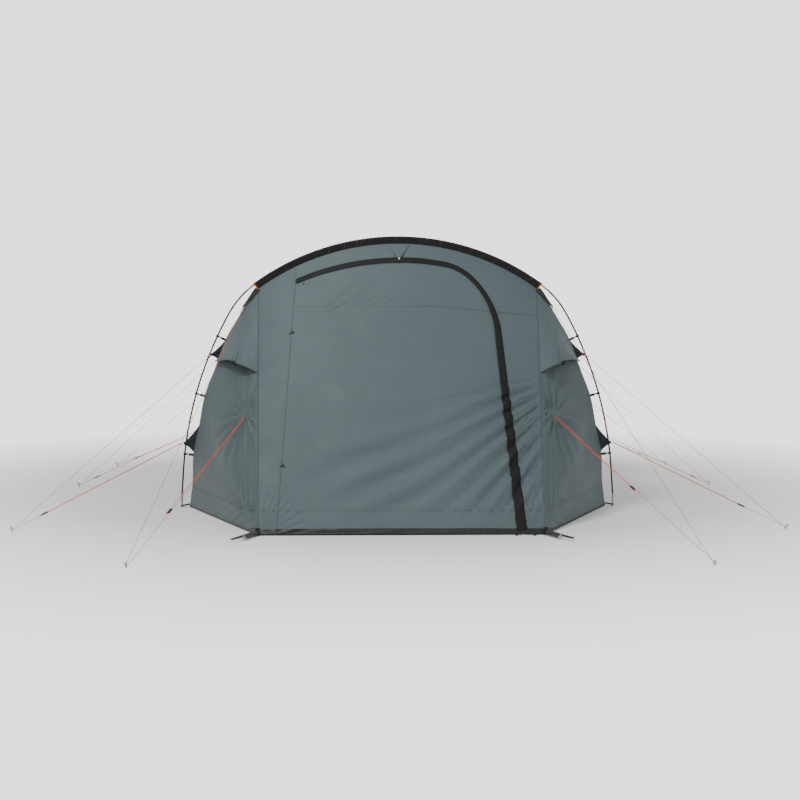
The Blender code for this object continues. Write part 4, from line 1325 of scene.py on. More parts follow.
class TENT_OT_poles(bpy.types.Operator):
    """Make the three arched poles with their ferrules, and finish their feet"""

    bl_idname = "tent.poles"
    bl_label = "Poles"

    def execute(self, context):
        silver = metal_finish("ferrule_alloy", (0.55, 0.62, 0.60), 0.28)
        for name, arch in FULL.items():
            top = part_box(f"{name}_pole")[0].z
            points = [at_height(arch.pole, top, -1)] + [p for p in arch.pole if p.z > top + 0.004]
            points.append(at_height(arch.pole, top, 1))
            pole = tube_mesh(f"{name}_fibre_pole", points, POLE_RADIUS, pole_finish("pole_glass_fibre"), 16)
            place_piece(pole, "root", "pole", f"{name}_pole")
            rings = []
            for side in (-1, 1):
                for height in FERRULE_HEIGHTS:
                    rings.append(self.ferrule(arch, side, height * arch.height / FRONT.height, silver))
            place_piece(joined(f"{name}_pole_ferrules", rings), "root", "pole_foot")
            for word in SIDES:
                frame["nodes"][f"{name}_pole_foot_{word}"].data.materials[0] = silver
        return {"FINISHED"}

    def ferrule(self, arch, side, height, silver):
        """A joint's sleeve: rolled ends and a shoulder ring."""
        long, wall = 0.058, 0.0011
        profile = ((-0.5, 0.2), (-0.495, 0.9), (-0.47, 1.25), (-0.44, 1.0), (0.30, 1.0), (0.32, 1.5),
                   (0.36, 1.5), (0.38, 1.0), (0.46, 1.15), (0.495, 0.9), (0.5, 0.2))
        points = [at_height(arch.pole, height + s * long, side) for s, _ in profile]
        radii = [POLE_RADIUS + wall * r for _, r in profile]
        return tube_mesh("ferrule", points, radii, silver, 20)


def sleeve_section(arch, i, run):
    """Points of a sleeve's skin at one station: round over the pole, then drawn in to its seam on the fly."""
    out = arch.outward(i)
    seam = 0.0016
    outline = []
    for k in range(9):
        turn = math.radians(90 - 180 * k / 8)
        outline.append((math.cos(turn) * SLEEVE_RADIUS, math.sin(turn) * SLEEVE_RADIUS))
    depth = SLEEVE_DROP + 0.004
    left = [(-depth * s, -lerp(SLEEVE_RADIUS, seam, s ** 0.8)) for s in (0.25, 0.5, 0.75, 1.0)]
    right = [(x, -y) for x, y in reversed(left)]
    ring = []
    for x, y in outline + left + right:
        low = min(max(-x / SLEEVE_DROP, 0), 1)
        slant = x * 95 * (1 if y > 0 else -1)
        pinch = 0.0042 * ripple(run, 0.062, slant + 3 * rough(run * 7, y * 30))
        pinch += 0.0018 * ripple(run, 0.027, slant * 1.6 + 3 * rough(run * 15, y * 60, 4.0))
        pinch *= 1 - low ** 4
        y += math.copysign(max(pinch, -0.0014), y) if abs(y) > 0.001 else 0.0
        x += 0.0009 * rough(run * 40, y * 200, 1.0) * (1 - low)
        ring.append(arch.pole[i] + out * x + Vector((0, y, 0)))
    return ring


class TENT_OT_sleeves(bpy.types.Operator):
    """Make the three pole sleeves and the webbing at their ends"""

    bl_idname = "tent.sleeves"
    bl_label = "Pole sleeves"

    def execute(self, context):
        for name in ARCHES:
            arch = Arch(name, 24)
            self.sleeve(name, arch)
            for word, side in SIDES.items():
                self.end_band(name, word, side, arch)
        return {"FINISHED"}

    def sleeve(self, name, arch):
        stations = list(arch.sleeve_range())
        runs = run_lengths([arch.pole[i] for i in stations])
        rings = [sleeve_section(arch, i, run) for i, run in zip(stations, runs)]
        spots, flat = [], []
        for ring, run in zip(rings, runs):
            spots += ring
            flat += [(around, run) for around in run_lengths(ring)]
        inner = len(spots)
        for i, ring, run in zip(stations, rings, runs):
            for point in ring:
                away = point - arch.pole[i]
                spots.append(arch.pole[i] + away.normalized() * min(SLEEVE_BORE, away.length * 0.9))
                flat.append((0.0, run))
        count = len(rings[0])
        faces = ring_faces(len(rings), count) + ring_faces(len(rings), count, inner)
        last = (len(rings) - 1) * count
        for n in range(count):
            m = (n + 1) % count
            faces.append((n, n + inner, m + inner, m))
            faces.append((last + n, last + m, last + m + inner, last + n + inner))
        finish = sleeve_cloth("sleeve_polyester")
        piece = skin(f"{name}_sleeve_cloth", spots, faces, flat, finish, 70, turn_out=True)
        place_piece(piece, "root", "pole_sleeve", f"{name}_pole_sleeve")

    def end_band(self, name, word, side, arch):
        """Orange webbing folded over the end of a sleeve and sewn to the fly."""
        end = arch.middle + side * SLEEVE_STATION * arch.fine
        out = arch.outward(end)
        along = (arch.pole[end + side] - arch.pole[end]).normalized()
        line = []
        for share in range(11):
            drop = lerp(-0.0118, SLEEVE_DROP + 0.006, share / 10)
            width = 0.0120 * math.sqrt(max(1 - (max(drop, 0) / (SLEEVE_DROP + 0.012)), 0.05))
            line.append(arch.pole[end] - out * drop + Vector((0, -width, 0)) + along * 0.001)
        front = self.band("front", line, [TO_FRONT] * 11)
        rear = self.band("rear", [Vector((p.x, 2 * arch.y - p.y, p.z)) for p in line], [-TO_FRONT] * 11)
        over = []
        for k in range(9):
            turn = math.pi * k / 8
            round_pole = out * (0.0118 * math.sin(turn)) + Vector((0, -0.012 * math.cos(turn), 0))
            over.append(arch.pole[end] + round_pole)
        cap = self.band("over", over, [(p - arch.pole[end]).normalized() for p in over])
        place_piece(joined(f"{name}_sleeve_band_{word}", [front, rear, cap]), "root", "guyline")

    def band(self, name, line, outs):
        return ribbon(name, line, outs, END_BAND_WIDTH, CLOTH_TAPE, orange_webbing())


class TENT_OT_clips(bpy.types.Operator):
    """Make the snap hooks that hold the fly to the poles below the sleeves"""

    bl_idname = "tent.clips"
    bl_label = "Pole clips"

    def execute(self, context):
        for name, arch in FULL.items():
            for word, side in SIDES.items():
                for number, height in enumerate(CLIP_HEIGHTS, 1):
                    level = height * arch.height / FRONT.height
                    piece = self.clip(f"{name}_{word}_snap_hook_{number}", arch, side, level)
                    nodes = [f"front_{word}_pole_clip_{number}"] if name == "front" else []
                    place_piece(piece, "root", "black_plastic", *nodes)
        return {"FINISHED"}

    def clip(self, name, arch, side, height):
        spot = at_height(arch.pole, height, side)
        inward = inward_at(arch, height, side, 0.008)
        reach = (at_height(arch.fly, height, side) - spot).dot(inward)
        place = frame_of(spot, inward, Vector((0, 1, 0)))
        outer, inner, mouth = POLE_RADIUS + 0.0045, POLE_RADIUS + 0.0006, math.radians(70)
        outline = []
        for radius, way in ((outer, 1), (inner, -1)):
            turns = [math.pi / 2 + mouth / 2 + (2 * math.pi - mouth) * k / 20 for k in range(21)]
            outline += [(radius * math.cos(t), radius * math.sin(t)) for t in turns[::way]]
        hook = extruded("hook", outline, 0.015, place, black_plastic(), 0.0007)
        root = outer - 0.001
        body = [(root, -0.004), (root + 0.010, -0.0046), (root + 0.013, -0.003), (root + 0.013, 0.003),
                (root + 0.010, 0.0046), (root, 0.004)]
        stem = extruded("stem", body, 0.012, place, black_plastic(), 0.0007)
        bead_at = root + 0.017
        ring = [spot + inward * (bead_at + s) for s in (-0.0045, -0.0035, 0.0, 0.0035, 0.0045)]
        bead = tube_mesh("bead", ring, [0.0035, 0.0056, 0.0064, 0.0056, 0.0035], pale_plastic(), 14)
        line = [spot + inward * lerp(bead_at + 0.003, reach + 0.002, k / 6) for k in range(7)]
        strap = ribbon("strap", line, [TO_FRONT] * 7, CLIP_STRAP_WIDTH, 0.0024, black_webbing())
        tail = []
        for k in range(6):
            share = k / 5
            bow = Vector((0, -0.004 - 0.018 * share, 0)) * (arch is FRONT)
            tail.append(line[-1] + inward * 0.035 * share + bow)
        facing_out = Vector((side * 0.5, -0.8, 0.1)).normalized()
        patch = ribbon("patch", tail, [facing_out] * 6, CLIP_STRAP_WIDTH, 0.0014, black_webbing())
        for piece in (hook, stem):
            self.bake_modifiers(piece)
        return joined(name, [hook, stem, bead, strap, patch])

    def bake_modifiers(self, piece):
        graph = bpy.context.evaluated_depsgraph_get()
        made = bpy.data.meshes.new_from_object(piece.evaluated_get(graph))
        piece.modifiers.clear()
        piece.data = made


# ---------------------------------------------------------------- the fly


def bay_grid(front, back, columns=22):
    grid = []
    for i in range(0, len(front.fly), 2):
        a, b = front.fly[i] + Vector((0, SEAM, 0)), back.fly[i] - Vector((0, SEAM, 0))
        free = min(a.z / SAG_FREE_HEIGHT, 1)
        row = []
        for j in range(columns + 1):
            share = j / columns
            sag = 4 * share * (1 - share) * FLY_SAG * free
            place = front.station(i)
            wave = ripple(place, 0.9, rough(place, share * 3) * 3)
            wave *= 0.0018 * math.exp(-min(share, 1 - share) / 0.07) * min(share, 1 - share) / 0.03
            wide = 0.012 * rough(place * 0.45, share * 2.2, front.y) * min(share, 1 - share) / 0.25
            row.append(a.lerp(b, share) - front.outward(i) * (sag + (wave + wide) * free))
        grid.append(row)
    return grid


class TENT_OT_bays(bpy.types.Operator):
    """Make the two bays of the fly between the arches"""

    bl_idname = "tent.bays"
    bl_label = "Fly bays"

    def execute(self, context):
        for name, front, back in (("front_bay", FRONT, MIDDLE), ("rear_bay", MIDDLE, REAR)):
            grid = bay_grid(front, back)
            piece = cloth(f"{name}_cloth", grid, fly_cloth())
            place_piece(piece, "root", "fly", f"{name}_fly")
            declare_cloth(grid)
        return {"FINISHED"}


def end_cloth_grid(wall, columns, scale=1.0, shift=0.0, step=2):
    """The whole end of the tent as one sheet: both cones and the wall between them."""
    arch, grid = wall.arch, []
    for i in range(0, len(arch.fly), step):
        top = arch.fly[i]
        side = -1 if i < arch.middle else 1
        if abs(arch.station(i)) > SLEEVE_STATION:
            reach = (wall.corner(side) - top).length - CORNER_SPREAD
            row = [wall.cone_point(top, side, lerp(SEAM, reach, j / columns)) for j in range(columns + 1)]
        else:
            share = top.x / wall.half_top
            base = Vector((share * wall.half_base, wall.base_y, FLY_LIFT))
            row = [top.lerp(base, lerp(SEAM / wall.slope, 1, j / columns)) for j in range(columns + 1)]
        grid.append([Vector((p.x * scale, p.y + shift, p.z * scale)) for p in row])
    return grid


class TENT_OT_rear_wall(bpy.types.Operator):
    """Make the sloping rear end"""

    bl_idname = "tent.rear_wall"
    bl_label = "Rear wall"

    def execute(self, context):
        grid = end_cloth_grid(REAR_END, 40)
        last = len(grid[0]) - 1

        def depth(p, i, j):
            held = min(j / 4, (last - j) / 3, 1) * ease(0.0, 0.15, p.z)
            wave = ripple(i, 7.0, rough(p.x * 2, p.z * 2) * 3)
            near = math.exp(-(last - j) / 9) + math.exp(-j / 4)
            return held * (0.012 * rough(p.x * 1.3, p.z * 1.3, 6.0) + wave * near * 0.0022)

        grid = moved_out(grid, depth, BEHIND)
        piece = cloth("rear_wall_cloth", grid, fly_cloth())
        place_piece(piece, "root", "fly", "rear_wall")
        declare_cloth(grid)
        return {"FINISHED"}


class TENT_OT_front_wall(bpy.types.Operator):
    """Make the fixed front cloth round the door, and the tab over its top"""

    bl_idname = "tent.front_wall"
    bl_label = "Front wall"

    def execute(self, context):
        grid = self.grid()
        piece = cloth("front_wall_cloth", grid, fly_cloth())
        place_piece(piece, "root", "fly", "front_wall")
        declare_cloth(grid)
        self.peak_tab()
        return {"FINISHED"}

    def grid(self):
        """Rows run from the door's opening out to the wall's edge, up the left, over and down the right."""
        wall, rows = FRONT_END, 130
        top = door_outline(-ZIP_SEAM)
        left, right = DOOR_HINGE_BASE_X - HINGE_SEAM, DOOR_ZIP_BASE_X + ZIP_SEAM
        v_high = SEAM / wall.slope
        inner, outer = [], []
        for j in range(rows, 0, -1):
            share = j / rows
            v = lerp(v_high, 1, share)
            inner.append((lerp(top[0][0], left, share), lerp(top[0][1], 1, share)))
            outer.append((SEAM - wall.half_width(v), v))
        edge = wall.half_width(v_high) - SEAM
        for k, pair in enumerate(top):
            inner.append(pair)
            outer.append((lerp(-edge, edge, k / (len(top) - 1)), v_high))
        for j in range(1, rows + 1):
            share = j / rows
            v = lerp(v_high, 1, share)
            inner.append((lerp(top[-1][0], right, share), lerp(top[-1][1], 1, share)))
            outer.append((wall.half_width(v) - SEAM, v))
        shares = [s / 14 for s in range(15)]
        return [
            [front_skin(lerp(a[0], b[0], share), lerp(a[1], b[1], share)) for share in shares]
            for a, b in zip(inner, outer)
        ]

    def peak_tab(self):
        """A triangle of cloth that hangs from the sleeve's seam over the middle of the flap."""
        half, drop, rows = 0.074, 0.135, 14
        grid = []
        for j in range(rows + 1):
            share = j / rows
            wide = lerp(half, 0.004, share)
            lift = 0.004 + 0.012 * ease(0.3, 1.0, share)
            v = (0.012 + drop * share) / FRONT_END.slope
            grid.append([front_skin(0.006 + wide * s, v, lift + 0.002 * (1 - s * s)) for s in (
                -1, -0.75, -0.5, -0.25, 0, 0.25, 0.5, 0.75, 1)])
        tab = cloth("door_peak_tab", grid, fly_cloth(), CLOTH_TAPE)
        place_piece(tab, "root", "fly")
        declare_cloth(grid)
        edges = []
        for column in (0, -1):
            line = [row[column] + Vector((0, -0.0012, 0)) for row in grid]
            outs = [Vector((0, -1, 0.3))] * len(line)
            edges.append(ribbon("edge", line, outs, 0.006, 0.0008, seam_cloth()))
        place_piece(joined("door_peak_tab_binding", edges), "root", "fly")
        tip = [grid[-1][4] + Vector((0, -0.004, -0.004 * k + 0.006)) for k in range(5)]
        radii = [0.003, 0.006, 0.007, 0.006, 0.003]
        place_piece(tube_mesh("door_peak_tab_bead", tip, radii, pale_plastic(), 14), "root", "fly")


class TENT_OT_door(bpy.types.Operator):
    """Make the door panel and its toggles"""

    bl_idname = "tent.door"
    bl_label = "Door"

    def execute(self, context):
        top = door_outline(ZIP_SEAM)
        left, right = DOOR_HINGE_BASE_X + HINGE_SEAM, DOOR_ZIP_BASE_X - ZIP_SEAM
        rows, grid = 140, []
        for x, v in top:
            base_x = lerp(left, right, (x - top[0][0]) / (top[-1][0] - top[0][0]))
            shares = [j / rows for j in range(rows + 1)]
            grid.append([front_skin(lerp(x, base_x, share), lerp(v, 1, share)) for share in shares])
        piece = cloth("door_cloth", grid, fly_cloth())
        place_piece(piece, "door", "fly", "door_panel")
        declare_cloth(grid)
        for number, height in enumerate(TOGGLE_HEIGHTS, 1):
            self.toggle(number, height)
        return {"FINISHED"}

    def toggle(self, number, height):
        """A roll-up toggle in its loop, on the seam beside the door's sewn side."""
        x = hinge_x(height) + 0.018
        v = v_at_height(x, height)
        spot, out = front_skin(x, v, 0.006), front_out(x, v)
        slant = Vector((0.5, 0, -0.87))
        bar = [spot + slant * s for s in (-0.016, -0.015, -0.011, 0.0, 0.011, 0.015, 0.016)]
        radii = [0.0015, 0.0034, 0.0044, 0.0038, 0.0044, 0.0034, 0.0015]
        pieces = [tube_mesh("bar", bar, radii, black_plastic(), 14)]
        for way in (-1, 1):
            line = []
            for k in range(9):
                share = k / 8
                bow = math.sin(math.pi * share)
                aside = Vector((-0.022 * (1 - share), 0, way * 0.008 * bow))
                line.append(spot - out * 0.004 * (1 - bow) + aside)
            pieces.append(tube_mesh("loop", line, 0.0013, black_webbing(), 8))
        foot = [front_skin(x - 0.022 + s, v, 0.0012) for s in (-0.008, 0.0, 0.008)]
        pieces.append(ribbon("foot", foot, [out] * 3, 0.010, 0.0016, black_webbing()))
        place_piece(joined(f"door_toggle_{number}", pieces), "door", "black_plastic")


class TENT_OT_zip(bpy.types.Operator):
    """Make the zip's tapes and teeth, and finish its slider"""

    bl_idname = "tent.zip"
    bl_label = "Zip"

    def execute(self, context):
        for body, word, shift, side in (("door", "inner", 0.004, 1), ("root", "outer", -0.004, -1)):
            spots = zip_line(shift, end=ZIP_END)
            tape = skin_tape(f"zip_{word}_tape", spots, 0.0075, 0.0006, black_webbing(), 0.0006)
            teeth = self.teeth(side)
            place_piece(joined(f"door_zip_{word}_half", [tape, teeth]), body, "zip_flap")
        frame["nodes"]["door_zip_slider"].data.materials[0] = metal_finish(
            "slider_black", (0.05, 0.05, 0.052), 0.35)
        return {"FINISHED"}

    def teeth(self, side):
        """A coil's teeth, each a short bar over its half of the zip's centre line."""
        pitch, mesh = 0.0030, bpy.data.meshes.new("teeth")
        spots = zip_line(0.0, end=ZIP_END)
        line = [front_skin(x, v, 0.0008) for x, v in spots]
        outs = [front_out(x, v) for x, v in spots]
        runs = run_lengths(line)
        points, faces = [], []
        count = int(runs[-1] / pitch)
        k = 0
        for n in range(count):
            at = (n + 0.5 * (side > 0)) * pitch
            while k < len(runs) - 2 and runs[k + 1] < at:
                k += 1
            share = (at - runs[k]) / (runs[k + 1] - runs[k])
            spot, out = line[k].lerp(line[k + 1], share), outs[k]
            ahead = (line[k + 1] - line[k]).normalized()
            across = ahead.cross(out).normalized() * side
            base = len(points)
            for rise, reach in ((0, 1), (0.0012, 0.8)):
                for a, c in ((-0.0006, -0.0004), (0.0006, -0.0004), (0.0006, 0.0024), (-0.0006, 0.0024)):
                    points.append(spot + ahead * a * reach + across * c * reach + out * rise)
            faces += [(base, base + 3, base + 2, base + 1), (base + 4, base + 5, base + 6, base + 7)]
            faces += [(base + m, base + (m + 1) % 4, base + 4 + (m + 1) % 4, base + 4 + m) for m in range(4)]
        mesh.from_pydata(points, [], faces)
        mesh.uv_layers.new(name="Cloth")
        return link("teeth", mesh, black_plastic())


class TENT_OT_flap(bpy.types.Operator):
    """Make the black flap over the zip"""

    bl_idname = "tent.flap"
    bl_label = "Zip flap"

    def execute(self, context):
        spots = zip_line(0.0, across=150, round_steps=40, down_steps=170, end=ZIP_END)
        spots = [(x, v) for x, v in spots if x > spots[0][0] + HINGE_SEAM + FLAP_END_GAP]
        flat = [Vector((x, -v * FRONT_END.slope)) for x, v in spots]
        shares = (1.0, 0.9, 0.75, 0.5, 0.25, 0.0, -0.3, -0.6, -0.85, -1.0)
        lifts = (0.25, 0.5, 0.75, 0.95, 1.0, 1.0, 1.0, 0.95, 0.85, 0.8)
        runs = run_lengths([Vector((p.x, p.y, 0)) for p in flat])
        grid = []
        for k, here in enumerate(flat):
            along = (flat[min(k + 1, len(flat) - 1)] - flat[max(k - 1, 0)]).normalized()
            out = Vector((-along.y, along.x))
            half = lerp(FLAP_TOP_WIDTH, FLAP_BASE_WIDTH, spots[k][1]) / 2
            row = []
            for share, lift in zip(shares, lifts):
                edge = 0.0016 * rough(runs[k] * 14, share * 2, 2.0) if abs(share) > 0.9 else 0.0
                spot = here + out * (half * share + edge)
                low = ease(0.8, 1.7, runs[k])
                wave = rough(runs[k] * 30, share * 1.6, 1.0) + 0.6 * rough(runs[k] * 70, share * 4, 5.0)
                stand = FLAP_STANDOFF * lift + (0.0009 + 0.0013 * low) * wave * lift
                row.append(front_skin(spot.x, min(-spot.y / FRONT_END.slope, 1), stand))
            grid.append(row)
        piece = cloth("door_zip_flap_cloth", grid, flap_cloth(), CLOTH_TAPE)
        place_piece(piece, "door", "zip_flap", "door_zip_flap")
        declare_cloth(grid)
        self.loops()
        return {"FINISHED"}

    def loops(self):
        """Two short shock-cord loops that tie the foot of the flap down."""
        pieces = []
        for start, reach in ((-0.012, -0.05), (0.045, 0.055)):
            x = DOOR_ZIP_BASE_X + start
            line = []
            for k in range(25):
                turn = 2 * math.pi * k / 24
                spread = 0.5 - 0.5 * math.cos(turn)
                line.append(Vector((
                    x + reach * spread * 0.6 + 0.008 * math.sin(turn),
                    HINGE.y - 0.006 - 0.030 * spread,
                    0.010 - 0.007 * spread + 0.004 * math.sin(turn) ** 2)))
            pieces.append(tube_mesh("loop", line, 0.0018, black_webbing(), 8))
            tip = line[12]
            bead = [tip + Vector((s, -0.3 * abs(s), 0)) for s in (-0.009, -0.008, 0.0, 0.008, 0.009)]
            radii = [0.0012, 0.003, 0.0034, 0.003, 0.0012]
            pieces.append(tube_mesh("bead", bead, radii, black_plastic(), 10))
        place_piece(joined("door_base_loops", pieces), "door", "black_plastic")
        low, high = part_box("door_zip_slider")
        line = [Vector(((low.x + high.x) / 2, low.y - 0.004, low.z + 0.004 - 0.007 * k)) for k in range(8)]
        grip = [line[-1] + Vector((0, -0.002, 0.014 - 0.005 * k)) for k in range(7)]
        cord = tube_mesh("cord", line, 0.0024, black_webbing(), 8)
        radii = [0.003, 0.0052, 0.006, 0.0062, 0.006, 0.0052, 0.003]
        handle = tube_mesh("grip", grip, radii, black_plastic(), 12)
        place_piece(joined("zip_pull_cord", [cord, handle]), "zip_slider", "black_plastic")


# ---------------------------------------------------------------- side panels and vents


class TENT_OT_side_panels(bpy.types.Operator):
    """Make the two front side panels with the patches that the porch guys hold"""

    bl_idname = "tent.side_panels"
    bl_label = "Side panels"

    def execute(self, context):
        for word, side in SIDES.items():
            grid = []
            for top in self.tops(side):
                start = max(VENT_SEAM_LENGTH * vent_share(top, side) + VENT_SEAM, SEAM)
                reach = (FRONT_END.corner(side) - top).length - CORNER_SPREAD
                grid.append([side_skin(side, top, lerp(start, reach, j / 60)) for j in range(61)])
            # The panel takes the side colour, the fly's colour darkened as painted shade.
            piece = cloth(f"front_{word}_shaded_side_cloth", grid, shaded_side_cloth())
            place_piece(piece, "root", "side_panel", f"front_{word}_side_panel")
            declare_cloth(grid)
            self.patch(word, side)
        return {"FINISHED"}

    def tops(self, side):
        arch = Arch("front", FINE_STATIONS)
        line = arch.side_line(side)
        foot = at_height(arch.fly, VENT_FOOT_HEIGHT, side)
        line = [p for p in line if p.z > foot.z + 0.004] + [foot] + [p for p in line if p.z < foot.z - 0.004]
        first = line[0] + (line[1] - line[0]).normalized() * SEAM
        return [first, *line[1:]]

    def patch(self, word, side):
        """A sewn patch with a webbing loop where the porch guy pulls."""
        hold = guy_hold(side)
        top = at_height(FRONT.fly, PORCH_GUY_RULING, side)
        out = side_out(side, top)
        down = (FRONT_END.corner(side) - top).normalized()
        across = out.cross(down)
        base = hold + out * 0.012
        grid = []
        for i in range(9):
            row = []
            for j in range(9):
                u, w = i / 4 - 1, j / 4 - 1
                radius = 0.030 * max(abs(u), abs(w))
                turn = math.atan2(w, u)
                spread = Vector((math.cos(turn), math.sin(turn))) * radius
                bulge = 0.0015 - 0.011 * min(radius / 0.03, 1) ** 1.2
                row.append(base + down * spread.x + across * spread.y + out * bulge)
            grid.append(row)
        patch = cloth(f"porch_{word}_patch", grid, shaded_side_cloth(), CLOTH_TAPE)
        place_piece(patch, "root", "side_panel")
        declare_cloth(grid)
        peg = peg_spot(f"porch_{word}")
        low = hold + (peg - hold).normalized() * PANEL_GUY_GAP
        line = []
        for k in range(15):
            turn = math.pi * (k / 14 - 0.5)
            line.append(base.lerp(low, 0.5 + 0.5 * math.cos(turn)) + across * 0.006 * math.sin(turn))
        outs = [across.cross(peg - hold).normalized()] * 15
        loop = ribbon(f"porch_{word}_loop", line, outs, 0.009, 0.0014, black_webbing())
        place_piece(loop, "root", "black_plastic")


def vent_rows(arch, side):
    line = arch.side_line(side, VENT_FOOT_HEIGHT)
    return [line[0] + (line[1] - line[0]).normalized() * SEAM, *line[1:]]


class TENT_OT_vents(bpy.types.Operator):
    """Make the two net windows and the hoods over them"""

    bl_idname = "tent.vents"
    bl_label = "Vents"

    def execute(self, context):
        arch = Arch("front", FINE_STATIONS)
        for word, side in SIDES.items():
            rows = [top for top in vent_rows(arch, side) if vent_share(top, side) > 0.12]
            grid = []
            for top in rows:
                end = VENT_SEAM_LENGTH * vent_share(top, side) - VENT_SEAM
                grid.append([FRONT_END.cone_point(top, side, lerp(SEAM, end, j / 14)) for j in range(15)])
            outside = Vector((side * 6, -4, 1))
            grid = moved_out(grid, lambda p, i, j: -0.012 * math.sin(math.pi * j / 14), outside)
            net = cloth(f"{word}_vent_net", grid, net_finish("vent_net"), 0.0006)
            place_piece(net, "root", "vent_mesh", f"{word}_vent_mesh")
            declare_cloth(grid)
            self.hood(word, side, arch)
        return {"FINISHED"}

    def hood(self, word, side, arch):
        """The hood is sewn along the arch and the corner seam, and a prop holds its lower edge out."""
        rise = math.tan(math.radians(HOOD_OPEN_ANGLE))
        rows = vent_rows(arch, side)
        columns, grid = 34, []
        for i, top in enumerate(rows):
            out = side_out(side, top)
            end = VENT_SEAM_LENGTH * vent_share(top, side) + HOOD_OVERHANG + HOOD_SIDE_INSET
            row = []
            for j in range(columns + 1):
                distance = lerp(HOOD_SIDE_INSET * 0.4, end, j / columns)
                spot = FRONT_END.cone_point(top, side, distance)
                to_seam = i / (len(rows) - 1)
                along = distance / (VENT_SEAM_LENGTH + HOOD_OVERHANG)
                tent = math.sin(math.pi / 2 * min(to_seam / 0.65, 1)) * (1 - 0.5 * ease(0.75, 1.0, to_seam))
                full = min(HOOD_FULLNESS * rise * VENT_SEAM_LENGTH * tent, 0.75 * end)
                lift = 0.0015 + HOOD_STANDOFF * along * tent + full * (j / columns) ** 1.15
                edge = ease(0.55, 1.0, j / columns)
                crease = ripple(to_seam * 3.5 + along * 1.6, 1, rough(to_seam * 3, along * 3, side) * 3)
                fine = ripple(to_seam * 8 + along * 4.0, 1, rough(to_seam * 5, along * 5, 4.0) * 3)
                slack = tent * (0.35 + 0.65 * edge) * min(end / 0.3, 1)
                lift += (0.0062 * crease + 0.0026 * fine) * slack
                row.append(spot + out * lift)
            grid.append(row)
        hood = cloth(f"{word}_hood_cloth", grid, fly_cloth())
        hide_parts(f"{word}_vent_hood")
        start, end = grid[0][columns // 2], grid[len(grid) // 3][columns // 2]
        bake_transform(hood)
        declare_cloth(grid)
        lip = [row[-1] for row in grid]
        outs = [side_out(side, top) for top in rows]
        line = [p - (p - row[-4]).normalized() * 0.005 + n * 0.0006 for p, row, n in zip(lip, grid, outs)]
        hem = ribbon(f"{word}_hood_hem", line, outs, 0.010, 0.0010, seam_cloth())
        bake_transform(hem)
        middle = round(len(rows) * HOOD_PROP_SHARE)
        tip = lip[middle] - outs[middle] * 0.004
        line = [tip + Vector((side * 0.001 * k, 0.002 * k, -0.0065 * k + 0.006)) for k in range(6)]
        prop = ribbon(f"{word}_hood_prop", line, [Vector((0, -1, 0.2))] * 6, 0.030, 0.003, black_webbing())
        place_piece(prop, f"{word}_hood", "black_plastic")


# ---------------------------------------------------------------- wings, seams, hems and corners


class TENT_OT_wings(bpy.types.Operator):
    """Make the cloth wings between the fly and the guys"""

    bl_idname = "tent.wings"
    bl_label = "Wings"

    def execute(self, context):
        for name, arch in FULL.items():
            high_z, low_z = GUY_HEIGHTS[f"{name}_pole"]
            plain = PLAIN[name]
            for word, side in SIDES.items():
                tie = at_height(plain.pole, high_z + 0.014, side)
                self.wing(f"{name}_{word}_upper_wing", arch, side, high_z + 0.128, high_z - 0.02, tie)
                low = at_height(plain.pole, low_z, side) + Vector((side * (WING_REACH - 0.022), 0, 0))
                self.wing(f"{name}_{word}_lower_wing", arch, side, low_z + 0.137, low_z - 0.065, low)
                self.strap(f"{name}_{word}_wing_strap", side, low)
        return {"FINISHED"}

    def wing(self, name, arch, side, high, low, tip):
        rows, columns, grid = 16, 10, []
        for i in range(rows + 1):
            seam = at_height(arch.fly, lerp(high, low, i / rows), side)
            end = tip + Vector((0, 0, lerp(0.006, -0.006, i / rows)))
            row = []
            for j in range(columns + 1):
                share = j / columns
                point = seam.lerp(end, share)
                hollow = 0.012 * math.sin(math.pi * share) * (i / rows - 0.5) * 1.6
                wave = 0.004 * math.sin(math.pi * share) * math.sin(2 * math.pi * i / rows * 1.5)
                row.append(point + Vector((0, wave, hollow)))
            grid.append(row)
        piece = cloth(name, grid, wing_cloth(), 0.0010)
        place_piece(piece, "root", "side_panel")
        declare_cloth(grid)

    def strap(self, name, side, low):
        """Webbing from the wing's tip to the guy's loop, folded as if round a steel ring, which is not made.
        """
        line, outs = [], []
        for k in range(13):
            turn = math.pi * (k / 12 - 0.5)
            reach = 0.020 + 0.010 * math.cos(turn)
            line.append(low + Vector((side * (reach - 0.012), 0, 0.0045 * math.sin(turn) - 0.001)))
            outs.append(Vector((side * math.cos(turn), 0, math.sin(turn))))
        fold = ribbon("fold", line, outs, 0.012, 0.0016, black_webbing())
        back = [low + Vector((-side * 0.030 * k / 4, -0.0015, 0.003 * k)) for k in range(5)]
        tail = ribbon("tail", back, [TO_FRONT] * 5, 0.020, 0.0016, black_webbing())
        place_piece(joined(name, [fold, tail]), "root", "black_plastic")


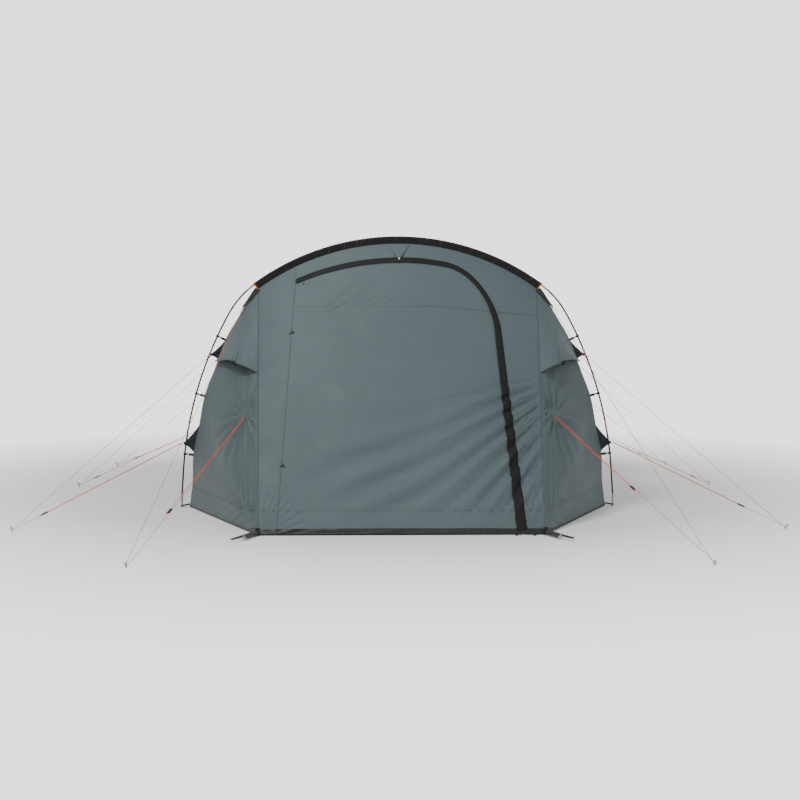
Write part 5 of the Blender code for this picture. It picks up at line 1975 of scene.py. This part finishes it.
class TENT_OT_seams(bpy.types.Operator):
    """Sew the felled seams of the fly"""

    bl_idname = "tent.seams"
    bl_label = "Seams"

    def execute(self, context):
        tape = (sizes().seam_width, 0.0009, seam_cloth())
        rows = [lerp(SEAM / FRONT_END.slope, 0.995, k / 90) for k in range(91)]
        aside = HINGE_SEAM + sizes().seam_width / 2
        strip = [(lerp(DOOR_HINGE_TOP_X, DOOR_HINGE_BASE_X, v) - aside, v) for v in rows]
        place_piece(skin_tape("door_side_seam", strip, *tape), "root", "fly")
        for word, height, left, v in (("high", HIGH_SEAM, -0.745, 0.15), ("low", LOW_SEAM, -0.80, 0.95)):
            inside = self.level(height, left + 0.010, zip_x(height) - 0.012)
            place_piece(skin_tape(f"door_{word}_seam", inside, *tape), "door", "fly")
            outside = self.level(height, zip_x(height) + 0.012, FRONT_END.half_width(v) - 0.012)
            place_piece(skin_tape(f"wall_{word}_seam", outside, *tape), "root", "fly")
        outside = self.level(LOW_SEAM, -0.925, -0.835)
        place_piece(skin_tape("wall_left_low_seam", outside, *tape), "root", "fly")
        for word, side in SIDES.items():
            self.corner_seam(word, side, tape)
            self.side_low_seam(word, side, tape)
        self.roof_seams(tape)
        return {"FINISHED"}

    def level(self, height, start, end):
        count = max(int(abs(end - start) / 0.015), 6)
        spots = []
        for k in range(count + 1):
            x = lerp(start, end, k / count)
            spots.append((x, v_at_height(x, height - 0.09 * max(x - 0.3, 0) * (height > 1))))
        return spots

    def corner_seam(self, word, side, tape):
        top = FRONT.top[-1 if side > 0 else 0]
        corner = FRONT_END.corner(side)
        out = (Vector((0, -0.8, 0.6)) + Vector((side, -0.2, 0.1)).normalized()).normalized()
        line = [top.lerp(corner, lerp(0.004, 0.985, k / 80)) + out * 0.0015 for k in range(81)]
        piece = ribbon(f"{word}_corner_seam", line, [out] * 81, *tape)
        place_piece(piece, "root", "fly")

    def side_low_seam(self, word, side, tape):
        line, outs = [], []
        for k in range(41):
            share = lerp(0.012, 0.885, k / 40)
            height = FLY_LIFT + (LOW_SEAM - FLY_LIFT) / (1 - share)
            top = at_height(FRONT.fly, height, side)
            reach = (FRONT_END.corner(side) - top).length
            line.append(side_skin(side, top, reach * share, SIDE_SEAM_LIFT))
            outs.append(side_out(side, top))
        place_piece(ribbon(f"{word}_side_low_seam", line, outs, *tape), "root", "side_panel")

    def roof_seams(self, tape):
        """Seams that run the length of each bay."""
        for name, front, back in (("front_bay", FRONT, MIDDLE), ("rear_bay", MIDDLE, REAR)):
            grid = bay_grid(front, back)
            for number, share in enumerate(ROOF_SEAM_SHARES, 1):
                i = round(share * (len(grid) - 1))
                out = front.outward(i * 2)
                line = [p + out * 0.001 for p in grid[i]]
                piece = ribbon(f"{name}_seam_{number}", line, [out] * len(line), *tape)
                place_piece(piece, "root", "fly")


class TENT_OT_hems(bpy.types.Operator):
    """Bind the fly's lower edge in black"""

    bl_idname = "tent.hems"
    bl_label = "Hems"

    def execute(self, context):
        spans = (("door", "door_hem", DOOR_HINGE_BASE_X + 0.003, DOOR_ZIP_BASE_X - 0.004),
                 ("root", "wall_left_hem", -0.937, DOOR_HINGE_BASE_X - 0.003),
                 ("root", "wall_right_hem", DOOR_ZIP_BASE_X + 0.004, 0.937))
        finish = cloth_finish("hem_laminate", (0.017, 0.019, 0.019), 0.42, 0.05, 0.9, 0.002, 0.3)
        for body, name, start, end in spans:
            count = max(int((end - start) / 0.02), 4)
            grid = []
            for k in range(count + 1):
                x = lerp(start, end, k / count)
                row = []
                for j in range(6):
                    v = lerp(1 - sizes().hem / FRONT_END.slope, 1, j / 5)
                    slack = 0.0035 * rough(x * 6, j * 0.4, 1.0) * ease(0, 3, j)
                    row.append(front_skin(x, v, HEM_LIFT + slack))
                grid.append(row)
            piece = cloth(name, grid, finish, CLOTH_TAPE)
            place_piece(piece, body, "groundsheet")
            declare_cloth(grid)
        for word, side in SIDES.items():
            corner = FRONT_END.corner(side)
            foot = FRONT.side_line(side)[-1]
            out = Vector((side * 0.6, -0.75, 0.1)).normalized()
            widths = [lerp(0.014, 0.040, ease(33, 40, k)) for k in range(41)]
            line = [foot.lerp(corner, k / 40) + out * 0.002 for k in range(41)]
            for k, spot in enumerate(line):
                spot.z = widths[k] / 2 + 0.002 + 0.0012 * rough(k * 0.35, side)
            hem = ribbon(f"front_{word}_side_hem", line, [out] * 41, widths, CLOTH_TAPE, black_webbing())
            place_piece(hem, "root", "groundsheet")
        y, z = REAR_END.base_y + 0.002, FLY_LIFT + 0.008
        line = [Vector((k / 20 * REAR_END.half_base, y, z)) for k in range(-20, 21)]
        hem = ribbon("rear_wall_hem", line, [Vector((0, 1, 0.3))] * 41, 0.020, CLOTH_TAPE, black_webbing())
        place_piece(hem, "root", "groundsheet")
        return {"FINISHED"}


class TENT_OT_corners(bpy.types.Operator):
    """Make the webbing and rings at the base corners and pole feet"""

    bl_idname = "tent.corners"
    bl_label = "Corner webbing"

    def execute(self, context):
        steel = metal_finish("ring_steel", (0.62, 0.62, 0.60), 0.3)
        for word, side in SIDES.items():
            self.corner(word, side, steel)
            self.porch_strap(word, side)
            for name, arch in FULL.items():
                self.foot_strap(name, word, side, arch)
        return {"FINISHED"}

    def corner(self, word, side, steel):
        corner = FRONT_END.corner(side)
        low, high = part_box(f"front_corner_{word}_peg")
        peg = Vector(((low.x + high.x) / 2, high.y - PEG_RADIUS, 0.012))
        out = (peg - corner).normalized()
        across = out.cross(UP).normalized()
        up = [corner + Vector((0, -0.006, 0.046 - 0.009 * k)) for k in range(6)]
        run = [corner.lerp(peg, k / 8) + Vector((0, -0.004, 0.008 - 0.0005 * k)) for k in range(1, 8)]
        line = up + run
        facing_out = Vector((side * 0.2, -1, 0.4)).normalized()
        outs = [facing_out] * len(line)
        strap = ribbon("strap", line, outs, sizes().webbing * 2.1, 0.0024, black_webbing())
        way = (out + Vector((side, 0, 0)) * 0.12).normalized()
        tail_line = [corner + Vector((side * 0.004, -0.012, 0.020)) + way * 0.030 * k
                     - UP * 0.0012 * k for k in range(11)]
        for spot in tail_line:
            spot.z = max(spot.z, 0.016)
        widths = [sizes().webbing * (1.9 - 0.09 * k) for k in range(11)]
        tail = ribbon("tail", tail_line, [facing_out] * 11, widths, 0.002, black_webbing())
        ring_points = []
        centre = peg + out * -0.006
        for k in range(25):
            turn = 2 * math.pi * k / 24
            ring_points.append(centre + out * 0.013 * math.cos(turn) + across * 0.013 * math.sin(turn))
        ring = tube_mesh("ring", ring_points, 0.0019, steel, 10)
        place_piece(joined(f"front_corner_{word}_webbing", [strap, tail, ring]), "root", "black_plastic")

    def porch_strap(self, word, side):
        """The dark strap from the sleeve's corner to the porch guy."""
        top = FRONT.top[-1 if side > 0 else 0]
        high, _ = guy_ends("porch", side, peg_spot(f"porch_{word}"))
        line, widths = [], []
        for k in range(13):
            share = k / 12
            bow = Vector((0, -0.008 * math.sin(math.pi * share), 0))
            line.append(top.lerp(high, share) + bow + Vector((side * 0.004, -0.006, 0)))
            widths.append(lerp(0.052, 0.016, ease(0, 0.9, share)))
        out = Vector((side * 0.55, -0.8, 0.25)).normalized()
        strap = ribbon(f"porch_{word}_strap", line, [out] * 13, widths, 0.002, black_webbing())
        place_piece(strap, "root", "black_plastic")

    def foot_strap(self, name, word, side, arch):
        """Elastic and webbing from the fly's corner to the foot's pin."""
        foot = middle_of(f"{name}_pole_foot_{word}")
        pin = Vector((foot.x, foot.y, 0.012))
        edge = arch.side_line(side)[-1] + Vector((0, 0, 0.016))
        ways = (Vector((0, -0.002, 0)), Vector((0, 0.004, -0.001)))
        pieces = []
        for k, way in enumerate(ways):
            line = [edge.lerp(pin, s / 8) + way * (1 + s / 3) for s in range(9)]
            outs = [Vector((0, -1, 0.5)).normalized()] * 9
            pieces.append(ribbon("strap", line, outs, 0.011, 0.002, black_webbing()))
        turns = [2 * math.pi * k / 20 for k in range(21)]
        collar = [pin + Vector((0.0065 * math.cos(t), 0.0065 * math.sin(t), 0)) for t in turns]
        outs = [(p - pin).normalized() for p in collar]
        pieces.append(ribbon("collar", collar, outs, 0.010, 0.0018, black_webbing()))
        place_piece(joined(f"{name}_{word}_foot_strap", pieces), "root", "black_plastic")


# ---------------------------------------------------------------- inside and underneath


class TENT_OT_bedroom(bpy.types.Operator):
    """Make the bedroom that hangs in the rear bay"""

    bl_idname = "tent.bedroom"
    bl_label = "Bedroom"

    def execute(self, context):
        front_y, back_y = MIDDLE.y + INNER_FRONT_GAP, REAR.y - INNER_REAR_GAP
        end = end_cloth_grid(REAR_END, 18, INNER_SCALE, -INNER_REAR_GAP, 4)
        grid = []
        for row_number, i in enumerate(range(0, len(MIDDLE.fly), 4)):
            row = []
            for j in range(16):
                share = j / 16
                point = MIDDLE.fly[i].lerp(REAR.fly[i], share)
                y = lerp(front_y, back_y, share)
                row.append(Vector((point.x * INNER_SCALE, y, point.z * INNER_SCALE)))
            grid.append(row + end[row_number])

        def depth(p, i, j):
            return (0.014 * rough(p.x * 1.8, p.y * 2.2, p.z * 1.8) - 0.010) * ease(0.0, 0.3, p.z)

        grid = moved_out(grid, depth, Vector((0, 0.8, 8)))
        finish = cloth_finish("bedroom_cotton", colours().inner, 0.75, 0.15, 0.5)
        piece = cloth("bedroom_cloth", grid, finish)
        place_piece(piece, "root", "bedroom", "bedroom_inner")
        declare_cloth(grid)
        return {"FINISHED"}


class TENT_OT_groundsheet(bpy.types.Operator):
    """Lay the groundsheet"""

    bl_idname = "tent.groundsheet"
    bl_label = "Groundsheet"

    def execute(self, context):
        stops = [(FRONT_END.base_y, FRONT_END.half_base)]
        stops += [(arch.y, PLAIN[arch.name].fly[-1].x) for arch in (FRONT, MIDDLE, REAR)]
        stops.append((REAR_END.base_y, REAR_END.half_base))
        grid = []
        for (near, a), (far, b) in zip(stops, stops[1:]):
            steps = max(int((far - near) / 0.06), 2)
            for k in range(steps + (far == stops[-1][0])):
                y, half = lerp(near, far, k / steps), lerp(a, b, k / steps)
                grid.append([Vector((half * j / 24, y, 0.0011 + 0.0006 * rough(half * j / 8, y * 3)))
                             for j in range(-24, 25)])
        piece = cloth("groundsheet_laminate", grid, groundsheet_finish("groundsheet_laminate"), 0.0008)
        place_piece(piece, "root", "groundsheet", "groundsheet")
        declare_cloth(grid)
        return {"FINISHED"}


class TENT_OT_fittings(bpy.types.Operator):
    """Finish the pegs and the guys' runners"""

    bl_idname = "tent.fittings"
    bl_label = "Pegs and runners"

    def execute(self, context):
        steel = metal_finish("peg_steel", (0.42, 0.43, 0.44), 0.32)
        for name, piece in frame["nodes"].items():
            if name.endswith("_peg"):
                piece.data.materials[0] = steel
            elif name.endswith("_runner"):
                piece.data.materials[0] = black_plastic()
        return {"FINISHED"}


class TENT_PT_panel(bpy.types.Panel):
    """Lists the tent's pieces, in the order that they are made"""

    bl_idname = "TENT_PT_panel"
    bl_label = "Tent"
    bl_space_type = "VIEW_3D"
    bl_region_type = "UI"
    bl_category = "Tent"

    def draw(self, context):
        for group in (context.scene.tent_colours, context.scene.tent_sizes):
            for name in group.bl_rna.properties.keys():
                if name not in ("rna_type", "name"):
                    self.layout.prop(group, name)
        for made in PIECES:
            self.layout.operator(made.bl_idname)


PIECES = (
    TENT_OT_stage,
    TENT_OT_guys,
    TENT_OT_poles,
    TENT_OT_sleeves,
    TENT_OT_clips,
    TENT_OT_bays,
    TENT_OT_rear_wall,
    TENT_OT_front_wall,
    TENT_OT_door,
    TENT_OT_zip,
    TENT_OT_flap,
    TENT_OT_side_panels,
    TENT_OT_vents,
    TENT_OT_wings,
    TENT_OT_seams,
    TENT_OT_hems,
    TENT_OT_corners,
    TENT_OT_bedroom,
    TENT_OT_groundsheet,
    TENT_OT_fittings,
)
CLASSES = (TentColours, TentSizes, *PIECES, TENT_PT_panel)


def register():
    for made in CLASSES:
        bpy.utils.register_class(made)
    bpy.types.Scene.tent_colours = PointerProperty(type=TentColours)
    bpy.types.Scene.tent_sizes = PointerProperty(type=TentSizes)


def unregister():
    del bpy.types.Scene.tent_colours
    del bpy.types.Scene.tent_sizes
    for made in reversed(CLASSES):
        bpy.utils.unregister_class(made)


def main():
    register()
    for made in PIECES:
        group, name = made.bl_idname.split(".")
        getattr(getattr(bpy.ops, group), name)()
    bpy.context.view_layer.update()


if __name__ == "__main__":
    main()
